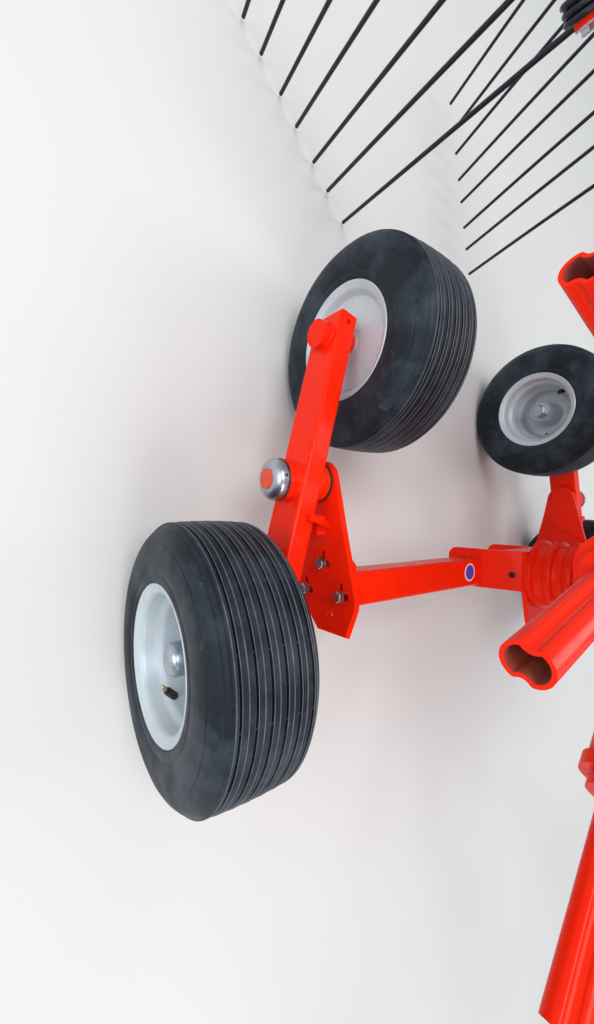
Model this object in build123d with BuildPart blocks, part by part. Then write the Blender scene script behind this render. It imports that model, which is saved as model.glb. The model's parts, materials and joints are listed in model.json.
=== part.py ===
from build123d import *
import os
from math import asin, atan, atan2, cos, hypot, radians, sin, sqrt

os.makedirs("parts", exist_ok=True)

# Frame: millimetres, +X forward, +Y to the left, +Z up. The origin is the middle of the
# top flange's face, on the rotor's axis. Heights below are counted from the ground, which
# is FLANGE_TOP under the origin. Each side is a mirror image in the plane Y = 0.

# Driving dimensions, wheels
WHEEL_R = 205.0
TYRE_WIDE = 162.0
RIM_HALF = 77.0
BEAD_R = 101.0
FLANGE_R = 114.0
WELL_R = 87.0
DISC_IN = -45.0
DISC_THICK = 6.0
HUB_R = 31.5
HUB_OUT = 30.0
HUB_IN = 66.0
AXLE_R = 16.0
AXLE_SHORT = 2.0
FIT = 0.2
CAP_R = 25.5
CAP_TALL = 36.0
WASHER_R = 29.0
WASHER_THICK = 6.0
BOLT_FLATS = 36.0
BOLT_TALL = 16.0
FRONT_WHEEL = (471.0, 414.0)
REAR_WHEEL = (-82.0, 768.0)
AXLE_Z = WHEEL_R

# Driving dimensions, oblique beams and their pivots
BEAM_TALL = 80.0
BEAM_WIDE = 40.0
BEAM_ROUND = 6.0
BEAM_Y_AT_FRONT = 516.0
BEAM_SLOPE = 0.2636
BEAM_PAST_AXLE = 36.0
BEAM_LEAN = atan(BEAM_SLOPE)
BEAM_TOP = AXLE_Z + BEAM_TALL / 2
BOSS_R = 26.0
BOSS_HEAD = 20.0
BOSS_WALL = 8.0
BOSS_GAP = 2.0
SLEEVE_R = 20.0
BEAM_HOLE_AHEAD = 20.0
BEAM_HOLE_R = 5.0
BEAM_HOLE_DEEP = 8.0
PIVOT_X = 194.0
PIVOT_Z = AXLE_Z + 3.0
PIN_R = 20.0
PIN_HEAD_R = 26.0
PIN_HEAD = 6.0
BUSH_R = 35.5
BUSH_LONG = 89.0
SEAL = 6.0
SHOULDER_R = 28.0
PIVOT_CAP_R = 36.5
PIVOT_CAP_LONG = 22.0
PLUG_R = 17.5
PLUG_PAST = 2.0

# Driving dimensions, brackets and axle tubes
WEB_OUT = 545.0
WEB_THICK = 12.0
NOSE_R = 40.0
FOLD_X = -27.0
WING_FOLD = 19.0
TUBE_X = 2.0
TUBE_TALL = 60.0
TUBE_WIDE = 62.0
TUBE_WALL = 5.0
TUBE_ROUND = 6.0
TUBE_TOP = PIVOT_Z + 72.0
WEB_IN = WEB_OUT - WEB_THICK
WEB_TOP = TUBE_TOP + 22.0
WEB_LOW = PIVOT_Z - 76.0
PLATE_THICK = 10.0
PLATE_IN = WEB_IN - PLATE_THICK
BUSH_START = WEB_OUT + SEAL
CAP_START = BUSH_START + BUSH_LONG + 1.0
BOLT_R = 6.0
SLOT_LONG = 18.0
SLOT_TALL = 15.0
WING_HOLE_OUT = 17.5
WING_HOLE_DROP = 56.0
WING_HOLE_R = 7.0
STOP_X = 114.0
STOP_Z = BEAM_TOP - 36.5
STOP_PAST = 17.0
STOP_WIDE = 35.0
STOP_TALL = 25.0
STOP_THICK = 12.0
STOP_GAP = 4.0

# Driving dimensions, foot and column
FOOT_TALL = 90.0
FOOT_TOP = TUBE_TOP + FOOT_TALL
FOOT_THICK = 8.0
FOOT_HALF = 98.0
FOOT_NECK = 76.0
FOOT_FRONT = 55.0
FOOT_REAR = -36.0
FOOT_LOW = TUBE_TOP - 90.0
FOOT_ROUND = 22.0
BASE_THICK = 10.0
BASE_REAR = -118.0
BASE_REAR_HALF = 56.0
BASE_LOW = FOOT_TOP - BASE_THICK
WALL_LOW = BASE_LOW - 44.0
WALL_HALF = 84.0
FOOT_HOLE_Z = BASE_LOW - 19.0
FOOT_HOLE_R = 7.2
COLUMN_TALL = 190.0
COLUMN_R = 74.0
SHAFT_R = 60.0

# Driving dimensions, rotor
ARM_Z = FOOT_TOP + 280.0
ARM_COUNT = 12
ARM_STEP = 30.0
ARM_FIRST = 28.3
ARM_LEAN = 15.2
EMPTY_SWING = 17.0
SOCKET_R = 703.0
SOCKET_T = SOCKET_R * cos(radians(ARM_LEAN))
ARM_OFF = SOCKET_R * sin(radians(ARM_LEAN))
DRUM_R = 270.0
DRUM_TALL = 116.0
DRUM_LOW = ARM_Z - DRUM_TALL / 2
DRUM_BEVEL = 14.0
DRUM_COLLAR_R = 105.0
DRUM_COLLAR = 14.0
HOUSING_START = 140.0
HOUSING_END = 450.0
HOUSING_R = 42.0
LIP_R = 47.0
LIP_LONG = 18.0
JOURNAL_R = 27.0
JOURNAL_LONG = 200.0
COLLAR_R = 36.0
COLLAR_LONG = 12.0
COLLAR_GAP = 5.0
LOBE_TALL = 44.0
LOBE_WIDE = 36.0
GROOVE_R = 8.0
GROOVE_DEEP = 3.8
GROOVE_LIP = 4.5
WALL = 3.8
BAR_FIT = 0.4

# Driving dimensions, gear case and flange
CASE_GAP = 22.0
CASE_TALL = 130.0
CASE_LONG = 250.0
CASE_WIDE = 200.0
CASE_ROUND = 30.0
COVER_R = 45.0
COVER_LONG = 35.0
INPUT_R = 17.5
INPUT_LONG = 90.0
INPUT_CHAMFER = 3.0
FLANGE_TALL = 20.0
TOP_FLANGE_R = 125.0
TOP_BOLT_CIRCLE_R = 100.0
TOP_BOLT_R = 7.0
TOP_BOLT_COUNT = 8
CASE_LOW = DRUM_LOW + DRUM_TALL + CASE_GAP
CASE_HIGH = CASE_LOW + CASE_TALL
INPUT_Z = CASE_LOW + CASE_TALL / 2
FLANGE_TOP = CASE_HIGH + FLANGE_TALL

# Driving dimensions, tine arms
BAR_IN = 520.0
BAR_PAST_LAST = 76.0
TINE_REACH = 672.0
TINE_R = 4.5
LEG_INSET = 0.5
PAIR_FIRST = 222.0
PAIR_STEP = 145.0
PAIR_COUNT = 4
PAIR_WIDE = 78.0
COIL_R = 24.0
COIL_WIDE = 31.0
COIL_DROP = 52.0
SPOOL_R = 14.0
COIL_END = PAIR_WIDE / 2 + TINE_R + LEG_INSET
SPOOL_LONG = 2 * COIL_END + 4.0
HOLDER_LONG = 22.0
HOLDER_WIDE = 22.0
MOUNTED = (
    # name, azimuth of the socket's mouth, how far the cam has swung the tines back
    ("front_left_arm", ARM_FIRST, 16.0),
    ("front_right_arm", ARM_FIRST - ARM_STEP, 22.1),
    ("rear_right_arm", ARM_FIRST + 6 * ARM_STEP, 65.0),
    ("rear_left_arm", ARM_FIRST + 5 * ARM_STEP, 65.0),
)
WHEELS = (
    # name, X of the axle, Y of the centre plane, way its open side faces along Y
    ("left_front", FRONT_WHEEL[0], FRONT_WHEEL[1], -1.0),
    ("left_rear", REAR_WHEEL[0], REAR_WHEEL[1], 1.0),
    ("right_front", FRONT_WHEEL[0], -FRONT_WHEEL[1], 1.0),
    ("right_rear", REAR_WHEEL[0], -REAR_WHEEL[1], -1.0),
)


def level(height):
    return Plane.XY.offset(height - FLANGE_TOP)


def across(y):
    # sketch X is the part's X and sketch Y is the height above the ground
    return Plane(origin=(0, y, -FLANGE_TOP), x_dir=(1, 0, 0), z_dir=(0, -1, 0))


def facing(x):
    # sketch X is the part's Y and sketch Y is the height above the ground
    return Plane(origin=(x, 0, -FLANGE_TOP), x_dir=(0, 1, 0), z_dir=(1, 0, 0))


def beam_y(x):
    return BEAM_Y_AT_FRONT + (FRONT_WHEEL[0] - x) * BEAM_SLOPE


def arm_plane(azimuth, swing, along=0.0):
    # local X runs out along the arm, local Z is the side away from the tines
    turn = radians(azimuth + ARM_LEAN)
    out = Vector(cos(turn), sin(turn), 0)
    side = Vector(-sin(turn), cos(turn), 0)
    up = Vector(0, 0, 1) * cos(radians(swing)) + side * sin(radians(swing))
    foot = side * -ARM_OFF + Vector(0, 0, ARM_Z - FLANGE_TOP) + out * along
    return Plane(origin=foot, x_dir=out, z_dir=up)


def section_plane(azimuth, swing, along):
    base = arm_plane(azimuth, swing, along)
    return Plane(origin=base.origin, x_dir=base.y_dir, z_dir=base.x_dir)


def lobed(plane, shrink):
    # a round-ended tube section with a groove pressed into each flank
    with BuildSketch(plane) as section:
        SlotOverall(LOBE_TALL - 2 * shrink, LOBE_WIDE - 2 * shrink, rotation=90)
        groove = LOBE_WIDE / 2 + GROOVE_R - GROOVE_DEEP
        with Locations((groove, 0), (-groove, 0)):
            Circle(GROOVE_R + shrink, mode=Mode.SUBTRACT)
        fillet(section.sketch_local.vertices(), radius=max(GROOVE_LIP - shrink, GROOVE_LIP / 6))
    return section.sketch


def barrel(radius, x, height, start, end, mode=Mode.ADD):
    # call inside a BuildPart: a round bar along Y between two values of Y
    with BuildSketch(across(start)) as disc:
        with Locations((x, height)):
            Circle(radius)
    extrude(disc.sketch, amount=start - end, mode=mode)


# Foot: a plate under the column, bent down on both sides to the axle tubes, and two walls
SIDE_OUTLINE = (
    # y, z
    (FOOT_NECK, BASE_LOW), (FOOT_HALF, TUBE_TOP), (FOOT_HALF, FOOT_LOW),
    (FOOT_HALF - FOOT_THICK, FOOT_LOW), (FOOT_HALF - FOOT_THICK, TUBE_TOP),
    (FOOT_NECK - FOOT_THICK, BASE_LOW),
)
BASE_OUTLINE = (
    # x, y
    (FOOT_FRONT, FOOT_NECK), (FOOT_REAR, FOOT_NECK), (BASE_REAR, BASE_REAR_HALF),
    (BASE_REAR, -BASE_REAR_HALF), (FOOT_REAR, -FOOT_NECK), (FOOT_FRONT, -FOOT_NECK),
)
WALL_OUTLINE = (
    # y, z
    (FOOT_NECK - FOOT_THICK / 2, BASE_LOW), (WALL_HALF, WALL_LOW), (-WALL_HALF, WALL_LOW),
    (FOOT_THICK / 2 - FOOT_NECK, BASE_LOW),
)
with BuildPart() as chassis_foot:
    with BuildSketch(facing(FOOT_REAR)):
        with BuildLine():
            Polyline(*SIDE_OUTLINE, close=True)
        make_face()
    extrude(amount=FOOT_FRONT - FOOT_REAR)
    mirror(about=Plane.XZ)
    low_corners = chassis_foot.edges().filter_by(Axis.Y).group_by(Axis.Z)[0]
    fillet(low_corners, radius=FOOT_ROUND)
    for x in (FOOT_REAR, FOOT_FRONT - FOOT_THICK):
        with BuildSketch(facing(x)):
            with BuildLine():
                Polyline(*WALL_OUTLINE, close=True)
            make_face()
        extrude(amount=FOOT_THICK)
    with BuildSketch(level(BASE_LOW)) as base:
        with BuildLine():
            Polyline(*BASE_OUTLINE, close=True)
        make_face()
        fillet(base.vertices().group_by(Axis.X)[0], radius=FOOT_ROUND)
    extrude(amount=BASE_THICK)
    barrel(FOOT_HOLE_R, 0, FOOT_HOLE_Z, FOOT_HALF, -FOOT_HALF, Mode.SUBTRACT)
chassis_foot.part.label = "chassis_foot"
export_step(chassis_foot.part, "parts/chassis_foot.step")

# Ringed column on the foot, up to the rotor
COLUMN_PROFILE = (
    # radius, height above the foot
    (0.0, 0.0), (COLUMN_R + 3, 0.0), (COLUMN_R + 5, 3.0), (COLUMN_R + 5, 7.0), (COLUMN_R + 2, 10.0),
    (COLUMN_R - 2, 14.0), (COLUMN_R, 32.0), (COLUMN_R + 4, 36.0), (COLUMN_R + 4, 46.0),
    (COLUMN_R - 4, 50.0), (COLUMN_R - 5, 68.0), (COLUMN_R + 2, 72.0), (COLUMN_R + 2, 86.0),
    (COLUMN_R - 8, 90.0), (COLUMN_R - 8, 104.0), (COLUMN_R, 108.0), (COLUMN_R, COLUMN_TALL),
    (0.0, COLUMN_TALL),
)
with BuildPart() as column_rings:
    with BuildSketch(across(0)):
        with BuildLine():
            Polyline(*((r, FOOT_TOP + z) for r, z in COLUMN_PROFILE), close=True)
        make_face()
    revolve(axis=Axis.Z)
column_rings.part.label = "column_rings"
export_step(column_rings.part, "parts/column_rings.step")

# Fixed centre shaft that carries the drum
with BuildPart() as centre_shaft:
    with BuildSketch(level(FOOT_TOP + COLUMN_TALL)):
        Circle(SHAFT_R)
    extrude(amount=CASE_LOW - FOOT_TOP - COLUMN_TALL)
centre_shaft.part.label = "centre_shaft"
export_step(centre_shaft.part, "parts/centre_shaft.step")

# Gear case with its input shaft, and the flange that bolts to a carrying frame
with BuildPart() as gear_case:
    with BuildSketch(level(CASE_LOW)):
        RectangleRounded(CASE_LONG, CASE_WIDE, CASE_ROUND)
    extrude(amount=CASE_TALL)
    with BuildSketch(facing(CASE_LONG / 2)):
        with Locations((0, INPUT_Z)):
            Circle(COVER_R)
    extrude(amount=COVER_LONG)
gear_case.part.label = "gear_case"
export_step(gear_case.part, "parts/gear_case.step")

with BuildPart() as input_shaft:
    with BuildSketch(facing(CASE_LONG / 2 + COVER_LONG)):
        with Locations((0, INPUT_Z)):
            Circle(INPUT_R)
    extrude(amount=INPUT_LONG)
    chamfer(input_shaft.faces().sort_by(Axis.X)[-1].edges(), length=INPUT_CHAMFER)
input_shaft.part.label = "input_shaft"
export_step(input_shaft.part, "parts/input_shaft.step")

with BuildPart() as top_flange:
    with BuildSketch(level(CASE_HIGH)):
        Circle(TOP_FLANGE_R)
        with PolarLocations(TOP_BOLT_CIRCLE_R, TOP_BOLT_COUNT):
            Circle(TOP_BOLT_R, mode=Mode.SUBTRACT)
    extrude(amount=FLANGE_TALL)
top_flange.part.label = "top_flange"
export_step(top_flange.part, "parts/top_flange.step")

# Drum, and a bearing housing on it for each arm
with BuildPart() as rotor_drum:
    with BuildSketch(level(DRUM_LOW)):
        Circle(DRUM_R)
    extrude(amount=DRUM_TALL)
    chamfer(rotor_drum.edges().filter_by(GeomType.CIRCLE), length=DRUM_BEVEL)
    with BuildSketch(level(DRUM_LOW - DRUM_COLLAR)):
        Circle(DRUM_COLLAR_R)
    extrude(amount=DRUM_TALL + 2 * DRUM_COLLAR)
    with BuildSketch(level(DRUM_LOW - DRUM_COLLAR)):
        Circle(SHAFT_R + FIT)
    extrude(amount=DRUM_TALL + 2 * DRUM_COLLAR, mode=Mode.SUBTRACT)
rotor_drum.part.label = "rotor_drum"
export_step(rotor_drum.part, "parts/rotor_drum.step")

HOUSING_BARS = (
    # start along the arm, end, radius, mode
    (HOUSING_START, HOUSING_END, HOUSING_R, Mode.ADD),
    (HOUSING_END - LIP_LONG, HOUSING_END, LIP_R, Mode.ADD),
    (HOUSING_END - JOURNAL_LONG, HOUSING_END, JOURNAL_R + FIT, Mode.SUBTRACT),
)
with BuildPart() as arm_housings:
    for k in range(ARM_COUNT):
        for start, end, radius, mode in HOUSING_BARS:
            with BuildSketch(section_plane(ARM_FIRST + ARM_STEP * k, 0, start)):
                Circle(radius)
            extrude(amount=end - start, mode=mode)
    with BuildSketch(level(DRUM_LOW)):
        Circle(DRUM_R)
    extrude(amount=DRUM_TALL, mode=Mode.SUBTRACT)
arm_housings.part.label = "arm_housings"
export_step(arm_housings.part, "parts/arm_housings.step")


def socket(azimuth, swing):
    # call inside a BuildPart: a journal, a collar and the hollow grooved socket tube
    tube_start = HOUSING_END + COLLAR_GAP + COLLAR_LONG
    with BuildSketch(section_plane(azimuth, swing, HOUSING_END - JOURNAL_LONG)) as journal:
        Circle(JOURNAL_R)
    extrude(journal.sketch, amount=JOURNAL_LONG + COLLAR_GAP)
    with BuildSketch(section_plane(azimuth, swing, HOUSING_END + COLLAR_GAP)) as collar:
        Circle(COLLAR_R)
    extrude(collar.sketch, amount=COLLAR_LONG)
    extrude(lobed(section_plane(azimuth, swing, tube_start), 0), amount=SOCKET_T - tube_start)
    inside = lobed(section_plane(azimuth, swing, tube_start + COLLAR_LONG), WALL)
    extrude(inside, amount=SOCKET_T - tube_start - COLLAR_LONG, mode=Mode.SUBTRACT)


TAKEN = [round(azimuth % 360, 3) for name, azimuth, swing in MOUNTED]
with BuildPart() as empty_sockets:
    for k in range(ARM_COUNT):
        azimuth = round((ARM_FIRST + ARM_STEP * k) % 360, 3)
        if azimuth not in TAKEN:
            socket(azimuth, EMPTY_SWING)
empty_sockets.part.label = "empty_sockets"
export_step(empty_sockets.part, "parts/empty_sockets.step")

# Tine arms: socket tube, bar with tine holders, and the double tines
PAIRS = [SOCKET_T + PAIR_FIRST + k * PAIR_STEP for k in range(PAIR_COUNT)]
for name, azimuth, swing in MOUNTED:
    with BuildPart() as arm_socket:
        socket(azimuth, swing)
    arm_socket.part.label = name + "_socket"
    export_step(arm_socket.part, "parts/" + name + "_socket.step")

    with BuildPart() as arm_bar:
        bar = lobed(section_plane(azimuth, swing, BAR_IN), WALL + BAR_FIT)
        extrude(bar, amount=PAIRS[-1] + BAR_PAST_LAST - BAR_IN)
        for along in PAIRS:
            with BuildSketch(section_plane(azimuth, swing, along - HOLDER_LONG / 2)):
                with Locations((0, -COIL_DROP / 2)):
                    Rectangle(HOLDER_WIDE, COIL_DROP)
            extrude(amount=HOLDER_LONG)
            with BuildSketch(section_plane(azimuth, swing, along - SPOOL_LONG / 2)):
                with Locations((0, -COIL_DROP)):
                    Circle(SPOOL_R)
            extrude(amount=SPOOL_LONG)
    arm_bar.part.label = name + "_bar"
    export_step(arm_bar.part, "parts/" + name + "_bar.step")

    with BuildPart() as arm_tines:
        for along in PAIRS:
            for start in (along - COIL_END, along + COIL_END - COIL_WIDE):
                with BuildSketch(section_plane(azimuth, swing, start)):
                    with Locations((0, -COIL_DROP)):
                        Circle(COIL_R)
                        Circle(SPOOL_R, mode=Mode.SUBTRACT)
                extrude(amount=COIL_WIDE)
            for side in (-1, 1):
                leg = arm_plane(azimuth, swing, along + side * PAIR_WIDE / 2)
                top = leg.from_local_coords((0, TINE_R + LEG_INSET - COIL_R, -COIL_DROP))
                with BuildSketch(Plane(origin=top, x_dir=leg.x_dir, z_dir=leg.z_dir * -1)):
                    Circle(TINE_R)
                extrude(amount=TINE_REACH - COIL_DROP)
    arm_tines.part.label = name + "_tines"
    export_step(arm_tines.part, "parts/" + name + "_tines.step")

# Running gear
with BuildPart() as axle_tubes:
    with BuildSketch(across(FOOT_HALF)):
        with Locations((TUBE_X, TUBE_TOP - TUBE_TALL / 2)):
            RectangleRounded(TUBE_WIDE, TUBE_TALL, TUBE_ROUND)
            Rectangle(TUBE_WIDE - 2 * TUBE_WALL, TUBE_TALL - 2 * TUBE_WALL, mode=Mode.SUBTRACT)
    extrude(amount=FOOT_HALF - PLATE_IN)
    mirror(about=Plane.XZ)
axle_tubes.part.label = "axle_tubes"
export_step(axle_tubes.part, "parts/axle_tubes.step")

BRACKET_BOLTS = (
    # x, z
    (-10.0, TUBE_TOP - 13.0), (-10.0, TUBE_TOP - 110.0), (44.0, TUBE_TOP - 61.5),
)
PLATE_OUTLINE = (
    # x, z
    (46.0, WEB_LOW + 28.0), (80.0, TUBE_TOP - 69.0), (72.0, TUBE_TOP - 27.0), (45.0, TUBE_TOP + 5.0),
    (-25.0, TUBE_TOP + 5.0), (-25.0, WEB_LOW + 28.0),
)
with BuildPart() as end_plates:
    with BuildSketch(across(PLATE_IN)):
        with BuildLine():
            Polyline(*PLATE_OUTLINE, close=True)
        make_face()
        with Locations(*BRACKET_BOLTS):
            Circle(BOLT_R, mode=Mode.SUBTRACT)
    extrude(amount=PLATE_IN - WEB_IN)
    mirror(about=Plane.XZ)
end_plates.part.label = "end_plates"
export_step(end_plates.part, "parts/end_plates.step")


def nose_touch(x, z, way):
    # where a line from (x, z) touches the nose, over it for way 1 and under it for way -1
    far = hypot(PIVOT_X - x, PIVOT_Z - z)
    turn = atan2(PIVOT_Z - z, PIVOT_X - x) + way * asin(NOSE_R / far)
    run = sqrt(far ** 2 - NOSE_R ** 2)
    return (x + run * cos(turn), z + run * sin(turn))


# Brackets: web with a rounded nose at the pivot, bent wing at the back, stop over the beam
WEB_SHOULDER = (90.0, TUBE_TOP - 5.0)
WEB_BELLY = (138.0, PIVOT_Z - 52.0)
WEB_OUTLINE = (
    # x, z
    (-10.0, WEB_TOP), (FOLD_X, WEB_TOP), (FOLD_X - 4, WEB_LOW + 13.0), (41.0, WEB_LOW), WEB_BELLY,
    nose_touch(*WEB_BELLY, -1), (PIVOT_X, PIVOT_Z), nose_touch(*WEB_SHOULDER, 1), WEB_SHOULDER,
)
WING_OUTLINE = (
    # distance from the fold, z
    (-3.0, WEB_TOP), (48.0, WEB_TOP - 6.0), (48.0, WEB_TOP - 77.0), (0.0, WEB_LOW + 22.0),
    (-3.0, WEB_LOW + 18.0),
)
TONGUE_OUTLINE = (
    # distance from the web, z
    (-WEB_THICK / 2, STOP_Z - 8.0), (17.0, STOP_Z - 8.0), (17.0, STOP_Z + 16.0),
    (41.0, BEAM_TOP + STOP_GAP), (63.0, BEAM_TOP + STOP_GAP), (63.0, BEAM_TOP + STOP_GAP + 9.0),
    (36.0, BEAM_TOP + STOP_GAP + 9.0), (-WEB_THICK / 2, STOP_Z + 24.0),
)
with BuildPart() as brackets:
    with BuildSketch(across(WEB_IN)):
        with BuildLine():
            Polyline(*WEB_OUTLINE, close=True)
        make_face()
        with Locations((PIVOT_X, PIVOT_Z)):
            Circle(NOSE_R)
            Circle(PIN_R, mode=Mode.SUBTRACT)
        for x, z in BRACKET_BOLTS:
            with Locations((x + SLOT_LONG / 2, z)):
                SlotCenterToCenter(SLOT_LONG, 2 * BOLT_R, mode=Mode.SUBTRACT)
            with Locations((x, z + SLOT_TALL / 2)):
                SlotCenterToCenter(SLOT_TALL, 2 * BOLT_R, rotation=90, mode=Mode.SUBTRACT)
    extrude(amount=WEB_IN - WEB_OUT)
    wing_x, wing_y = cos(radians(WING_FOLD)), sin(radians(WING_FOLD))
    fold = Plane(origin=(FOLD_X, WEB_OUT, -FLANGE_TOP), x_dir=(-wing_x, wing_y, 0), z_dir=(wing_y, wing_x, 0))
    with BuildSketch(fold):
        with BuildLine():
            Polyline(*WING_OUTLINE, close=True)
        make_face()
        with Locations((WING_HOLE_OUT, WEB_TOP - WING_HOLE_DROP)):
            Circle(WING_HOLE_R, mode=Mode.SUBTRACT)
    extrude(amount=-WEB_THICK)
    with BuildSketch(across(WEB_IN - STOP_PAST)):
        with Locations((STOP_X, STOP_Z)):
            Rectangle(STOP_WIDE, STOP_TALL)
    extrude(amount=-(WEB_THICK + 2 * STOP_PAST))
    out_x, out_y = sin(BEAM_LEAN), cos(BEAM_LEAN)
    root = (STOP_X - out_y * STOP_THICK / 2, WEB_OUT + out_x * STOP_THICK / 2, -FLANGE_TOP)
    with BuildSketch(Plane(origin=root, x_dir=(out_x, out_y, 0), z_dir=(out_y, -out_x, 0))):
        with BuildLine():
            Polyline(*TONGUE_OUTLINE, close=True)
        make_face()
    extrude(amount=STOP_THICK)
    mirror(about=Plane.XZ)
brackets.part.label = "brackets"
export_step(brackets.part, "parts/brackets.step")

# Pivots: pin with an inner head, a shoulder against the bush, and a plug that holds the cap
with BuildPart() as pivot_pins:
    barrel(PIN_HEAD_R, PIVOT_X, PIVOT_Z, WEB_IN - PIN_HEAD, WEB_IN)
    barrel(PIN_R, PIVOT_X, PIVOT_Z, WEB_IN, CAP_START)
    barrel(SHOULDER_R, PIVOT_X, PIVOT_Z, WEB_OUT, BUSH_START)
    barrel(PLUG_R, PIVOT_X, PIVOT_Z, CAP_START, CAP_START + PIVOT_CAP_LONG + PLUG_PAST)
    mirror(about=Plane.XZ)
pivot_pins.part.label = "pivot_pins"
export_step(pivot_pins.part, "parts/pivot_pins.step")

PIVOT_CAP_PROFILE = (
    # Y, radius
    (CAP_START, PLUG_R + FIT), (CAP_START, PIVOT_CAP_R), (CAP_START + 0.5 * PIVOT_CAP_LONG, PIVOT_CAP_R),
    (CAP_START + 0.82 * PIVOT_CAP_LONG, 0.85 * PIVOT_CAP_R), (CAP_START + PIVOT_CAP_LONG, PLUG_R + 2),
    (CAP_START + PIVOT_CAP_LONG, PLUG_R + FIT),
)
with BuildPart() as pivot_caps:
    pivot = (PIVOT_X, 0, PIVOT_Z - FLANGE_TOP)
    with BuildSketch(Plane(origin=pivot, x_dir=(0, 1, 0), z_dir=(1, 0, 0))):
        with BuildLine():
            Polyline(*PIVOT_CAP_PROFILE, close=True)
        make_face()
    revolve(axis=Axis(pivot, (0, 1, 0)))
    mirror(about=Plane.XZ)
pivot_caps.part.label = "pivot_caps"
export_step(pivot_caps.part, "parts/pivot_caps.step")

# Oblique beams with the pivot bush and the bosses of the stub axles
AXLES = (
    # x, Y of the wheel's centre plane, way from the beam to the wheel along Y
    (FRONT_WHEEL[0], FRONT_WHEEL[1], -1.0),
    (REAR_WHEEL[0], REAR_WHEEL[1], 1.0),
)
BEAM_HALF = BEAM_WIDE / 2 / cos(BEAM_LEAN)
with BuildPart() as beams:
    front_x = FRONT_WHEEL[0] + BEAM_PAST_AXLE
    run = (front_x - REAR_WHEEL[0] + BEAM_PAST_AXLE) / cos(BEAM_LEAN)
    front_end = (front_x, beam_y(front_x), AXLE_Z - FLANGE_TOP)
    back = (-cos(BEAM_LEAN), sin(BEAM_LEAN), 0)
    with BuildSketch(Plane(origin=front_end, x_dir=(0, 0, 1), z_dir=back)):
        RectangleRounded(BEAM_TALL, BEAM_WIDE, BEAM_ROUND)
    extrude(amount=run)
    barrel(BUSH_R, PIVOT_X, PIVOT_Z, BUSH_START, BUSH_START + BUSH_LONG)
    barrel(PIN_R + FIT, PIVOT_X, PIVOT_Z, BUSH_START, BUSH_START + BUSH_LONG, Mode.SUBTRACT)
    for x, y, toward in AXLES:
        head = beam_y(x) - toward * (BEAM_HALF + BOSS_HEAD)
        sleeve = y - toward * (HUB_IN + BOSS_GAP)
        barrel(BOSS_R, x, AXLE_Z, head, beam_y(x))
        barrel(SLEEVE_R, x, AXLE_Z, beam_y(x), sleeve)
        barrel(AXLE_R, x, AXLE_Z, head + toward * BOSS_WALL, sleeve, Mode.SUBTRACT)
    hole_x = FRONT_WHEEL[0] + BEAM_HOLE_AHEAD
    with BuildSketch(level(BEAM_TOP)):
        with Locations((hole_x, beam_y(hole_x))):
            Circle(BEAM_HOLE_R)
    extrude(amount=-BEAM_HOLE_DEEP, mode=Mode.SUBTRACT)
    mirror(about=Plane.XZ)
beams.part.label = "beams"
export_step(beams.part, "parts/beams.step")

with BuildPart() as stub_axles:
    for x, y, toward in AXLES:
        head = beam_y(x) - toward * (BEAM_HALF + BOSS_HEAD - BOSS_WALL)
        barrel(AXLE_R, x, AXLE_Z, head, y + toward * (HUB_OUT - AXLE_SHORT))
    mirror(about=Plane.XZ)
stub_axles.part.label = "stub_axles"
export_step(stub_axles.part, "parts/stub_axles.step")

# Wheels: the open side of each faces away from its beam
SEAT = (
    # distance from the wheel's centre plane, radius: where the tyre sits on the rim
    (-RIM_HALF, FLANGE_R), (-RIM_HALF + 5, FLANGE_R - 1), (-RIM_HALF + 7, BEAD_R + 2),
    (-RIM_HALF + 17, BEAD_R), (RIM_HALF - 17, BEAD_R), (RIM_HALF - 7, BEAD_R + 2),
    (RIM_HALF - 5, FLANGE_R - 1), (RIM_HALF, FLANGE_R),
)
RIM_INSIDE = (
    # distance from the wheel's centre plane towards its open side, radius
    (RIM_HALF, FLANGE_R - 3), (RIM_HALF - 4, BEAD_R + 1), (RIM_HALF - 14, BEAD_R - 4),
    (RIM_HALF - 31, BEAD_R - 5), (RIM_HALF - 37, WELL_R + 2), (8.0, WELL_R - 1), (-2.0, WELL_R - 9),
    (-33.0, WELL_R - 12),
    (DISC_IN, WELL_R - 27), (DISC_IN, HUB_R + 14), (DISC_IN + 11, HUB_R + 3), (HUB_OUT, HUB_R),
    (HUB_OUT, AXLE_R + FIT), (-HUB_IN, AXLE_R + FIT), (-HUB_IN, HUB_R), (DISC_IN - DISC_THICK, HUB_R + 5),
    (DISC_IN - DISC_THICK, WELL_R - 10), (-RIM_HALF + 17, WELL_R + 5), (-RIM_HALF + 5, BEAD_R),
    (-RIM_HALF, FLANGE_R - 3),
)
TYRE_HALF = (
    # share of the tyre's half width, share of the way from the rim's flange to the tread
    (0.988, 0.08), (1.0, 0.43), (0.95, 0.72), (0.815, 0.9), (0.59, 0.977),
)
FLANK = [(a * TYRE_WIDE / 2, FLANGE_R + b * (WHEEL_R - FLANGE_R)) for a, b in TYRE_HALF]
TYRE_PROFILE = (*SEAT, *FLANK, (0.0, WHEEL_R), *((-a, r) for a, r in reversed(FLANK)))
DOME_PROFILE = (
    # share of the cap's height, share of its radius
    (0.0, 0.0), (0.0, 1.0), (0.54, 1.0), (0.8, 0.77), (0.96, 0.4), (1.0, 0.0),
)
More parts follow.
